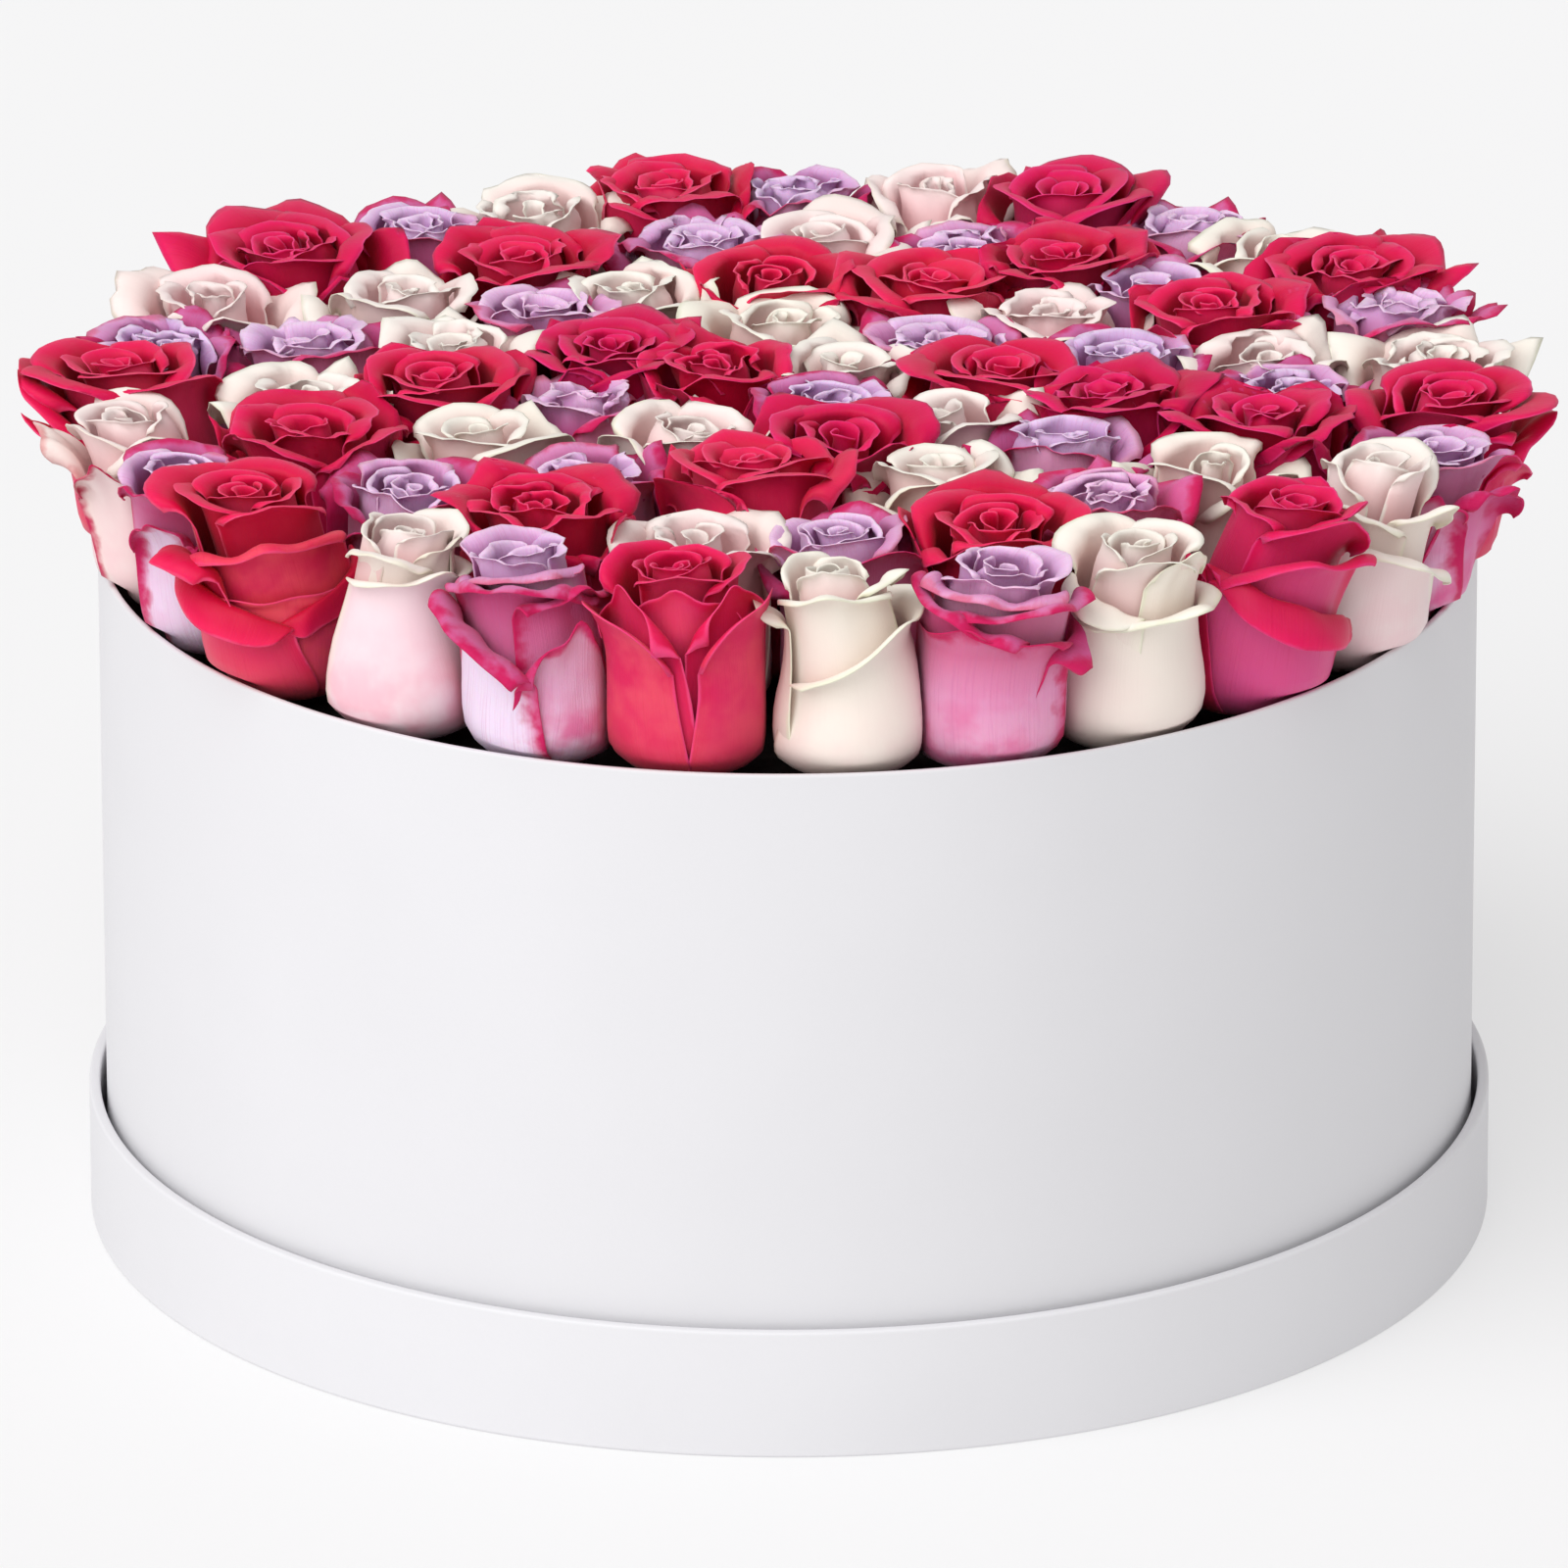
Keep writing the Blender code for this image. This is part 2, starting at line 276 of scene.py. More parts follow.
def add_light():
    """A white world, and a broad lamp at the upper left that shines on the box."""
    world = bpy.data.worlds.new("studio")
    world.use_nodes = True
    world.node_tree.nodes["Background"].inputs["Color"].default_value = (1.0, 1.0, 1.0, 1.0)
    world.node_tree.nodes["Background"].inputs["Strength"].default_value = WORLD_LIGHT
    bpy.context.scene.world = world
    lamp = bpy.data.objects.new("broad_lamp", bpy.data.lights.new("broad_lamp", "SUN"))
    lamp.data.energy = LAMP_LIGHT
    lamp.data.angle = LAMP_SOFTNESS
    bpy.context.scene.collection.objects.link(lamp)
    back = np.array(LAMP_FROM) / np.linalg.norm(LAMP_FROM)
    side = np.cross((0.0, 0.0, 1.0), back)
    side /= np.linalg.norm(side)
    matrix = np.identity(4)
    matrix[:3, :3] = np.array((side, np.cross(back, side), back)).T
    lamp.matrix_world = Matrix(matrix.tolist())


add_light()
bpy.context.scene.view_settings.view_transform = "Standard"
print("the lamp's light comes from", LAMP_FROM)

# %% [markdown]
# ## White card
# The box is grey board covered in smooth white paper. The paper has a satin face: a faint fibre grain
# that only shows as a broken highlight, and the slight unevenness of hand-pasted paper. Both are bumps of
# about a fifth of a millimetre at most, so they belong in the finish and not in the mesh.

# %% Finish of the card
CARD_WHITE = (0.735, 0.728, 0.750)
CARD_DULLER = 0.975
SATIN = (0.44, 0.56)
FIBRES = 900.0
FIBRE_SHARE = 0.25
PASTED = 14.0
FIBRE_HEIGHT = 0.12
CARD_RELIEF = 0.0002


def card_finish():
    finish, shader = new_finish("white_card", 0.5, Specular_IOR_Level=0.35)
    tree = finish.node_tree
    place = position(tree)
    fibres = cloudy(tree, place, FIBRES, 2.0)
    pasted = cloudy(tree, place, PASTED, 2.0)
    fine = maths(tree, "MULTIPLY", fibres, FIBRE_SHARE)
    broad = maths(tree, "MULTIPLY", pasted, 1 - FIBRE_SHARE)
    shade = maths(tree, "ADD", fine, broad)
    darker = tuple(CARD_DULLER * part for part in CARD_WHITE)
    wire(tree, ramp(tree, shade, [(0.3, darker), (0.7, CARD_WHITE)]), shader.inputs["Base Color"])
    wire(tree, fade(tree, fibres, 0.3, 0.7, *SATIN), shader.inputs["Roughness"])
    relief = maths(tree, "ADD", maths(tree, "MULTIPLY", fibres, FIBRE_HEIGHT), pasted)
    raised(tree, shader, relief, CARD_RELIEF)
    return finish


card = card_finish()
print("finish made:", card.name)

# %% [markdown]
# ## Turned pieces
# The body and the lid's band are round, so each is a profile swept once round the upright axis. A Screw
# modifier would do it too. Here the points are worked out directly, because the paper's overlap at the
# back then costs only one line: away from the seam the outer radius is smaller by the thickness of the
# paper.

# %% Round the corners of an outline
ARC_STEPS = 4


def arc_at(corner, before, after, bend):
    """The points of a small arc that rounds one corner of an outline."""
    corner, before, after = (np.array(point, float) for point in (corner, before, after))
    start = corner + (before - corner) / np.linalg.norm(before - corner) * bend
    end = corner + (after - corner) / np.linalg.norm(after - corner) * bend
    shares = np.linspace(0.0, 1.0, ARC_STEPS + 1)[:, None]
    return (1 - shares) ** 2 * start + 2 * shares * (1 - shares) * corner + shares**2 * end


def rounded(corners, bend):
    """A closed outline of (radius, height) corners, with each corner rounded."""
    arcs = []
    for i, corner in enumerate(corners):
        arcs.extend(arc_at(corner, corners[i - 1], corners[(i + 1) % len(corners)], bend))
    return np.array(arcs)


print("points on one rounded corner:", len(arc_at((0, 0), (1, 0), (0, 1), 0.1)))

# %% Turn a grid of points into a piece
def grid_faces(rows, columns, round_rows, round_columns):
    """The faces between the points of a grid, which may close on itself either way."""
    i = np.arange(rows if round_rows else rows - 1)[:, None]
    j = np.arange(columns if round_columns else columns - 1)[None, :]
    next_i, next_j = (i + 1) % rows, (j + 1) % columns
    corners = (i * columns + j, next_i * columns + j, next_i * columns + next_j, i * columns + next_j)
    return np.stack(corners, axis=-1).reshape(-1, 4)


def new_piece(name, points, faces, finishes, sharp=None):
    """A smooth mesh object, with an angle in degrees past which its edges stay sharp."""
    mesh = bpy.data.meshes.new(name)
    mesh.from_pydata(points.tolist(), [], faces.tolist())
    mesh.shade_smooth()
    if sharp:
        mesh.set_sharp_from_angle(angle=math.radians(sharp))
    for finish in finishes:
        mesh.materials.append(finish)
    piece = bpy.data.objects.new(name, mesh)
    bpy.context.scene.collection.objects.link(piece)
    return piece


def stands_for(piece, slot, *nodes):
    """The piece rides on the only body there is, and is shown in place of these nodes."""
    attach(piece, "root")
    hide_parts(*nodes)


print("a grid of 3 by 4 points has", len(grid_faces(3, 4, False, False)), "faces")

# %% Sweep an outline
ROUND_STEPS = 240
SEAM_AT = math.radians(97)
SEAM_WIDTH = 0.010
PAPER = 0.00025
SHARP = 40


def swept(name, outline, finish):
    """A ring whose closed outline of (radius, height) points is swept round the Z axis. At the seam
    it is thicker by one sheet of paper."""
    turns = np.linspace(0.0, math.tau, ROUND_STEPS, endpoint=False)[:, None]
    radius = np.repeat(outline[None, :, 0], ROUND_STEPS, axis=0)
    height = np.repeat(outline[None, :, 1], ROUND_STEPS, axis=0)
    outside = outline[:, 0] > outline[:, 0].mean()
    away = np.abs(turns - SEAM_AT) * outline[:, 0].max() > SEAM_WIDTH / 2
    radius = radius - PAPER * (outside & away)
    points = np.stack([radius * np.cos(turns), radius * np.sin(turns), height], axis=-1)
    faces = grid_faces(ROUND_STEPS, len(outline), True, True)
    return new_piece(name, points.reshape(-1, 3), faces, [finish], sharp=SHARP)


print("an outline is swept in", ROUND_STEPS, "steps")

# %% [markdown]
# ## The body and the lid
# The real body is a card tube whose white paper is turned in over the rim and ends in a straight line
# inside. The lid is the same thing, shorter and wider, and here it is upside down under the body. Each
# tube's sizes are read from its plain solid. A hollow tube is drawn as its cross-section, with rounded
# rims and the small step where the turned-in paper ends.

# %% Make the body and the lid
RIM_BEND = 0.0011
TURN_IN = 0.018


def ring_sizes(node):
    """The outer radius, inner radius, bottom and top of a round node."""
    low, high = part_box(node)
    radii = [math.hypot(corner.co.x, corner.co.y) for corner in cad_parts[node].data.vertices]
    return max(radii), min(radii), low.z, high.z


def tube_outline(outer, inner, bottom, top):
    """A tube's section: the paper comes over the rim and down the inside to its cut edge."""
    cut = top - TURN_IN
    paper_end = [(inner, cut), (inner + PAPER, cut), (inner + PAPER, cut - PAPER)]
    corners = ((outer, bottom), (outer, top), (inner, top), (inner, bottom))
    arcs = rounded(corners, RIM_BEND)
    per_corner = len(arcs) // len(corners)
    return np.array([*arcs[: 3 * per_corner], *paper_end, *arcs[3 * per_corner :]])


body_sizes = ring_sizes("box_wall")
lid_sizes = ring_sizes("lid_band")
body = swept("box_body", tube_outline(*body_sizes), card)
lid = swept("lid_rim", tube_outline(*lid_sizes), card)
stands_for(body, "white_card", "box_wall")
stands_for(lid, "white_card", "lid_band")
print("body radius and top in mm:", round(1000 * body_sizes[0], 1), round(1000 * body_sizes[3], 1))

# %% [markdown]
# ## The pieces that keep their plain solid
# The foot panel, the lid's panel, the waterproof film and the foam block are simple forms, and are nearly
# hidden. Their solids stay as they are and only get a better finish. The film is thin, glossy plastic with
# fine wrinkles. The foam is dark and matt, and full of small pores.

# %% Finish the film and the foam
FILM_SHADES = [(0.3, (0.010, 0.009, 0.010)), (0.7, (0.016, 0.015, 0.016))]
FILM_GLOSS = (0.25, 0.45)
WRINKLES = 70.0
FOAM_SHADES = [(0.35, (0.008, 0.007, 0.007)), (0.65, (0.030, 0.028, 0.027))]
PORES = 2200.0
CRUMBS = 160.0
PORE_SHARE = 0.4
HIDDEN_RELIEF = 0.0012


def film_finish():
    finish, shader = new_finish("black_film", 0.3, Specular_IOR_Level=0.5)
    tree = finish.node_tree
    wrinkles = cloudy(tree, position(tree), WRINKLES, 5.0)
    wire(tree, ramp(tree, wrinkles, FILM_SHADES), shader.inputs["Base Color"])
    wire(tree, fade(tree, wrinkles, 0.3, 0.7, *FILM_GLOSS), shader.inputs["Roughness"])
    raised(tree, shader, wrinkles, HIDDEN_RELIEF)
    return finish


def foam_finish():
    finish, shader = new_finish("dark_foam", 0.95, Specular_IOR_Level=0.15)
    tree = finish.node_tree
    pores = cloudy(tree, position(tree), PORES, 2.0)
    crumbs = cloudy(tree, position(tree), CRUMBS, 4.0)
    fine = maths(tree, "MULTIPLY", pores, PORE_SHARE)
    coarse = maths(tree, "MULTIPLY", crumbs, 1 - PORE_SHARE)
    rough = maths(tree, "ADD", fine, coarse)
    wire(tree, ramp(tree, rough, FOAM_SHADES), shader.inputs["Base Color"])
    raised(tree, shader, rough, HIDDEN_RELIEF)
    return finish


def refinish(node, finish):
    """Gives a solid that is kept a better material."""
    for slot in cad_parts[node].material_slots:
        slot.material = finish


refinish("box_base", card)
refinish("lid_panel", card)
refinish("liner_film", film_finish())
refinish("floral_foam", foam_finish())
print("kept with a better finish: the two panels, the film and the foam")

# %% [markdown]
# ## Where the roses stand
# Each plain rose ends below in the tip of its stem, which is its lowest point. Two or three roses of one
# colour can share a node, so a node is asked for all its lowest points. The stems stand closer together
# than the blooms, as in a bunch that fans out. The fan is undone here, so that each bloom's middle is
# known too.

# %% Find the roses
COLOURS = {"red": "R", "white": "W", "lavender": "L"}
SAME_HEIGHT = 0.0005
SAME_SPOT = 0.002
STEM_LENGTH = 0.066
FAN = 0.045
FAN_RADIUS = 0.208
ROUNDS = 6

Rose = collections.namedtuple("Rose", "node colour foot middle height walls draws tilt")


def stem_tips(node):
    """The foot of each rose in one node, seen from above, and the height of its stems' tips."""
    corners = np.array([corner.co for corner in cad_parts[node].data.vertices])
    bottom = corners[:, 2].min()
    tips = []
    for corner in corners[corners[:, 2] < bottom + SAME_HEIGHT]:
        if all(math.dist(corner[:2], tip) > SAME_SPOT for tip in tips):
            tips.append(corner[:2])
    return tips, bottom


def bloom_middle(foot):
    """Where the bloom over a foot has its middle: the fan brings it nearer by a known share."""
    middle = foot
    for _ in range(ROUNDS):
        middle = foot / (1 - FAN * (np.linalg.norm(middle) / FAN_RADIUS) ** 2)
    return middle


rose_nodes = sorted(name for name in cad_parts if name.startswith("rose_"))
places = []
for node in rose_nodes:
    tips, tip_height = stem_tips(node)
    for tip in tips:
        places.append((node, node.split("_")[1], tip, bloom_middle(tip)))
FOOT = tip_height + STEM_LENGTH
print("roses found:", len(places), "in", len(rose_nodes), "nodes, feet at", round(FOOT, 4))

# %% [markdown]
# ## Room for each rose
# Packed roses press against each other and share the room evenly: the wall between two neighbours lies
# about halfway, nearer to the smaller one. Each rose keeps a list of its walls, as a direction and a
# distance. Later every petal is pressed back softly before it reaches a wall, as real petals are.

# %% The walls of a room
SIZES = {"R": 0.0247, "W": 0.0244, "L": 0.0240}
FAR_APART = 0.106


def smooth(value, low, high):
    """Goes softly from 0 to 1 while the value goes from low to high."""
    share = np.clip((value - low) / (high - low), 0.0, 1.0)
    return share * share * (3 - 2 * share)


def room_walls(own, others, colour, colours):
    """The walls towards all neighbours. A larger kind of rose moves its walls outward."""
    walls = []
    for other, other_colour in zip(others, colours):
        apart = math.dist(own, other)
        if SAME_HEIGHT < apart < FAR_APART:
            share = (SIZES[colour] ** 2 - SIZES[other_colour] ** 2) / (2 * apart)
            walls.append((*((other - own) / apart), apart / 2 + share))
    return np.array(walls)


print("sizes of the three kinds in mm:", {letter: round(1000 * size, 1) for letter, size in SIZES.items()})

# %% Work out the rooms
SEED = 5
LOWER_BEHIND = 0.07
BEHIND = (-0.17, 0.10)
TILT = (2, 13)

middles = [place[3] for place in places]
letters = [COLOURS[place[1]] for place in places]
roses = []
for i, (node, colour, foot, middle) in enumerate(places):
    walls = room_walls(middle, middles, letters[i], letters)
    height = (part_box(node)[1].z - FOOT) * (1 - LOWER_BEHIND * smooth(middle[1], *BEHIND))
    draws = np.random.default_rng(SEED + i)
    tilt = (math.radians(draws.uniform(*TILT)), draws.uniform(0, math.tau))
    roses.append(Rose(node, colour, foot, middle, height, walls, draws, tilt))
print("walls of the first rose's room in mm:", [round(1000 * wall[2]) for wall in roses[0].walls])

# %% [markdown]
# ## How a petal is shaped
# A rose petal has two parts. The lower part follows the round cup of the bloom, from the calyx out to the
# belly and up to the neck. Above the neck is the free lip, which can lean in or out and curl back. The
# cup is given by a formula. The lip is grown instead, in small steps along a direction that turns as it
# goes, because that keeps its length true however tightly it curls.

# %% The line of a petal, seen from its side
BOWL_SHARE = 0.46
BOTTOM = 1.05
NECK_EASE = 1.1
LIP_STEPS = 20
LEANS_BY = 0.4
CURL_EASE = 1.6


def cup_line(share, belly, belly_height, neck, height):
    """Radius and height on the cup, for a share from 0 at the calyx to 1 at the neck."""
    bowl = np.clip(share / BOWL_SHARE, 0.0, 1.0) * math.pi / 2
    wall = np.clip((share - BOWL_SHARE) / (1 - BOWL_SHARE), 0.0, 1.0)
    radius = belly * np.sin(bowl) ** BOTTOM + (neck - belly) * smooth(wall, 0.0, NECK_EASE)
    rise = belly_height * (1 - np.cos(bowl)) + (height - belly_height) * wall
    return radius, rise


def lip_line(shares, length, lean, curl):
    """How far out and up each share of the lip lies from the neck, and its angle from upright."""
    steps = np.linspace(0.0, 1.0, LIP_STEPS)[:, None]
    angle = lean * smooth(steps, 0.0, LEANS_BY) + curl * steps**CURL_EASE
    stride = length / (LIP_STEPS - 1)
    out = np.cumsum(np.sin(angle) * stride, axis=0) - np.sin(angle[:1]) * stride
    up = np.cumsum(np.cos(angle) * stride, axis=0) - np.cos(angle[:1]) * stride
    place = shares * (LIP_STEPS - 1)
    low = np.clip(np.floor(place).astype(int), 0, LIP_STEPS - 2)
    part = (place - low)[:, None]
    return tuple(line[low] * (1 - part) + line[low + 1] * part for line in (out, up, angle))


out, up, angle = lip_line(np.array([0.0, 0.5, 1.0]), np.array([0.02]), 0.0, math.radians(100))
print("a lip of 20 mm ends this far out and up in mm:", np.round(1000 * out[-1]), np.round(1000 * up[-1]))

# %% [markdown]
# ## What is known about a petal
# One record holds every value of a petal: which way it faces, the cup that it follows, its lip, how wide
# it is and how its margins behave. Its mesh will carry notes as well, which are numbers at each point
# that the finish reads: how far along the petal the point lies, how near the rim, whether it is on the
# inner face, how old the petal is, and how its colour leans.

# %% A petal's values and notes
NOTES = ("along", "across", "rim", "inner", "age", "tint", "flush", "pale", "tone", "edged")
Petal = collections.namedtuple(
    "Petal",
    "turn belly belly_height neck neck_height start lip lean curl side_curl half narrow taper drop"
    " point tuck roll roll_zone skew slant ruffle waves phase crumple age tint flush pale tone"
    " edged rows columns",
)
print("a petal has", len(Petal._fields), "values and carries these notes:", ", ".join(NOTES))

# %% [markdown]
# ## Rolled margins, creases and waves
# The side margins of a rose petal roll outward round a small radius. That is done by bending the last few
# millimetres of each row along an arc. The sheet itself is never quite smooth: it has soft slanting
# creases, and waves that grow towards the tip. Both are sums of a few sine waves, shifted for each petal
# by its own phase, so that no two petals are alike.

# %% Roll, crease and ruffle a petal
FLAT = 0.02
RUFFLED = (0.8, 1.9)
CREASED = (0.5, 1.3)


def rolled_margin(arc, edge, zone, angle):
    """Bends the outer zone of a row outward: gives the new distance along the row, and how far
    out it stands. The arc is the distance from the petal's midline, and edge is its end."""
    share = np.clip((arc - edge + zone) / zone, 0.0, 1.0)
    angle = np.maximum(angle, FLAT)
    along = np.minimum(arc, edge - zone) + zone / angle * np.sin(angle * share)
    return along, zone / angle * (1 - np.cos(angle * share))


def creases(across, along, phase):
    """Soft creases that run at a slant over a petal, with values round 0."""
    slanted = np.sin(7.0 * across + 3.0 * along + 5 * phase)
    slanted = slanted * np.sin(2.6 * along - 3.1 * across + 3 * phase)
    return slanted + 0.5 * np.sin(11.0 * across - 5.0 * along + 7 * phase)


def swing_of(petal, across, reach):
    """How far waves and creases push each point out of the smooth sheet."""
    wave = np.sin(petal.waves * math.pi * across + petal.phase) * (0.35 + 0.65 * np.abs(across))
    wave = wave + 0.4 * np.sin(1.7 * petal.waves * math.pi * across + 2 * petal.phase)
    swing = petal.ruffle * wave * smooth(reach, *RUFFLED)
    return swing + petal.crumple * creases(across, reach, petal.phase) * smooth(reach, *CREASED)


along, stands = rolled_margin(np.array([0.010]), np.array([0.010]), 0.005, np.array([math.pi / 2]))
print("a margin of 5 mm rolled by a right angle stands out in mm:", np.round(1000 * stands, 1))

# %% [markdown]
# ## The petal's middle sheet
# The sheet is a grid of rows from base to tip and columns from margin to margin. First each column gets
# its upright line, which is the cup and then the lip. The lip is longest in the middle, where it may end
# in a point, and curls more towards the margins. Then the rows are laid round the bloom, as wide as the
# petal is there, and are rolled, creased and waved.

# %% The upright lines of a petal
EVEN_SPACING = 0.45
EDGE_SPACING = 0.55
CUP_SPACING = 1.3
LIP_SPACING = 0.85
TIP_HALF = 0.22
CORNER = 2.4
ALMOST = 0.999
SIDE_EASE = 1.5


def across_petal(columns):
    """Places over a petal's width from -1 to 1, closer together near its margins."""
    even = np.linspace(-1.0, 1.0, columns)
    return EVEN_SPACING * even + EDGE_SPACING * np.sin(even * math.pi / 2)


def petal_rows(petal):
    """For each row, how far up the cup and how far along the lip it lies."""
    cup_rows, lip_rows = petal.rows
    cup = petal.start + (1 - petal.start) * np.linspace(0.0, 1.0, cup_rows + 1)[:-1] ** CUP_SPACING
    lip = np.linspace(0.0, 1.0, lip_rows) ** LIP_SPACING
    climb = np.concatenate([cup, np.ones(lip_rows)])[:, None]
    beyond = np.concatenate([np.zeros(cup_rows), lip])[:, None]
    return climb, beyond


def upright_lines(petal, across, climb, beyond):
    """Each point's radius, height and angle from upright, and the lip's length in each column."""
    cup_rows = petal.rows[0]
    side = np.abs(across)
    line = cup_line(climb[:cup_rows], petal.belly, petal.belly_height, petal.neck, petal.neck_height)
    radius, rise = (np.repeat(part, petal.columns, axis=1) for part in line)
    tip = petal.point * np.exp(-((across / TIP_HALF) ** 2))
    cut = 1 - np.sqrt(1 - ALMOST * side**CORNER)
    length = petal.lip * (1 - petal.drop * cut) + tip
    curl = petal.curl * (1 + petal.side_curl * side**SIDE_EASE)
    out, up, angle = lip_line(beyond[cup_rows:, 0], length, petal.lean, curl)
    radius = np.vstack([radius, petal.neck + out])
    rise = np.vstack([rise, petal.neck_height + up])
    angle = np.vstack([np.zeros((cup_rows, petal.columns)), angle])
    return radius, rise, angle, length


print("seven columns lie at", np.round(across_petal(7), 2))

# %% Lay the rows round the bloom
WIDENS = (0.2, 1.0)
SKEWS = (0.1, 1.0)
ROLLS = (0.35, 1.3)
LEAST_NEAR = 0.3
FLARE = 0.35
BASE_EDGE = 0.02
RIM_ZONE = 0.010


def petal_grid(petal):
    """The places of a petal's middle sheet, as rows from base to tip, with its notes."""
    across = across_petal(petal.columns)
    side = np.abs(across)
    climb, beyond = petal_rows(petal)
    radius, rise, angle, length = upright_lines(petal, across, climb, beyond)
    half = petal.half * (1 - petal.narrow * smooth(climb, *WIDENS)) * (1 - petal.taper * beyond**2)
    near = np.maximum(radius, petal.neck * LEAST_NEAR)
    half = half * np.minimum(1.0, petal.neck / near) ** FLARE
    swing = swing_of(petal, across, climb + beyond)
    bend = petal.roll * smooth(climb + 0.7 * beyond, *ROLLS)
    arc, stands = rolled_margin(side * half * near, half * near, petal.roll_zone, bend)
    radius = radius * (1 + petal.tuck * across) + stands + swing * np.cos(angle)
    rise = rise - swing * np.sin(angle) + petal.slant * across * smooth(climb, *WIDENS)
    direction = petal.turn + np.sign(across) * arc / near + petal.skew * smooth(climb, *SKEWS)
    grid = np.stack([radius * np.cos(direction), radius * np.sin(direction), rise], axis=-1)
    edge = np.minimum((1 - side) * half * near, (1 - beyond) * length + (1 - climb) * BASE_EDGE)
    along = (climb * petal.neck_height + beyond * petal.lip) / (petal.neck_height + petal.lip)
    notes = {"along": along + 0 * across, "across": across + 0 * along, "rim": edge / RIM_ZONE}
    return grid, notes


print("the colour of a rim can reach in by", round(1000 * RIM_ZONE), "mm")

# %% [markdown]
# ## From a sheet to a thin closed shell
# A Solidify modifier could give the sheet its thickness. Here both faces and the rim are made together
# from the grid, because the notes can then tell the inner face from the outer one.

# %% Both faces and the rim
PETAL_THICK = 0.00045


def border(rows, columns):
    """The numbers of a grid's outermost points, once round."""
    last = (rows - 1) * columns
    up_right = np.arange(1, rows) * columns + columns - 1
    back_left = last + np.arange(columns - 2, -1, -1)
    down_left = np.arange(rows - 2, 0, -1) * columns
    return np.concatenate([np.arange(columns), up_right, back_left, down_left])


def petal_shell(petal):
    """Points, faces and notes of a petal with two faces and a rim."""
    grid, notes = petal_grid(petal)
    rows, columns = grid.shape[:2]
    normal = np.cross(np.gradient(grid, axis=1), np.gradient(grid, axis=0))
    normal /= np.linalg.norm(normal, axis=-1, keepdims=True) + 1e-12
    sheets = [(grid + side * normal * PETAL_THICK / 2).reshape(-1, 3) for side in (1, -1)]
    count = rows * columns
    front = grid_faces(rows, columns, False, False)[:, ::-1]
    loop = border(rows, columns)
    after = np.roll(loop, -1)
    rim = np.stack([loop, loop + count, after + count, after], axis=-1)
    both = {name: np.tile(notes[name].ravel(), 2) for name in notes}
    both["inner"] = np.repeat([0.0, 1.0], count)
    for name in NOTES[4:]:
        both[name] = np.full(2 * count, getattr(petal, name))
    return np.concatenate(sheets), np.concatenate([front, front[:, ::-1] + count, rim]), both


print("a grid of 5 by 4 points has", len(border(5, 4)), "points on its border")

# %% [markdown]
# ## Three kinds of rose
# All the roses grow in the same way: petals are set one after another at the golden angle, and each is a
# little nearer the heart than the one before. What differs is the habit, which is a list of values from
# the oldest petal outside to the youngest at the heart.

# %% What a habit says
AGES = (0.0, 0.25, 0.5, 0.75, 1.0)
GOLDEN = math.radians(137.508)
Habit = collections.namedtuple(
    "Habit",
    "petals reach flush belly neck top lip lean curl side_curl half narrow taper drop point roll ruffle"
    " waves crumple",
)
HABITS = {}


def at_age(habit, name, age):
    """A habit's value for a petal of this age."""
    return float(np.interp(age, AGES, getattr(habit, name)))


print("a habit has", len(Habit._fields), "values")

# %% [markdown]
# ### The pink-red rose
# It is the largest and the most open, with broad lips that curl back and end in soft points. It has the
# most petals, and they close up gradually towards the heart.

# %% The habit of the pink-red rose
HABITS["red"] = Habit(
    petals=20,
    reach=0.0258,
    flush=0.2,
    belly=(1.06, 1.02, 1.0, 1.0, 1.0),
    neck=(1.0, 0.86, 0.64, 0.38, 0.12),
    top=(0.66, 0.79, 0.85, 0.87, 0.86),
    lip=(0.0250, 0.0215, 0.0170, 0.0120, 0.0080),
    lean=(14, 4, -8, -14, -6),
    curl=(84, 72, 56, 42, 26),
    side_curl=(1.2, 1.2, 1.1, 0.6, 0.0),
    half=(1.20, 1.15, 1.2, 1.4, 2.0),
    narrow=(0.22, 0.12, 0.06, 0.04, 0.0),
    taper=(0.22, 0.18, 0.12, 0.08, 0.05),
    drop=(0.80, 0.70, 0.55, 0.40, 0.30),
    point=(0.0034, 0.0030, 0.0020, 0.0008, 0.0002),
    roll=(75, 60, 45, 30, 0),
    ruffle=(0.0014, 0.0013, 0.0010, 0.0008, 0.0003),
    waves=(1.3, 1.5, 1.6, 1.5, 1.2),
    crumple=(0.0005, 0.0007, 0.0007, 0.0005, 0.0002),
)
print("most petals on a red rose:", HABITS["red"].petals)

# %% [markdown]
# ### The white rose
# It has the fewest petals. Its belly is wider than its neck, and its heart stays closed while the outer
# petals curl far back.

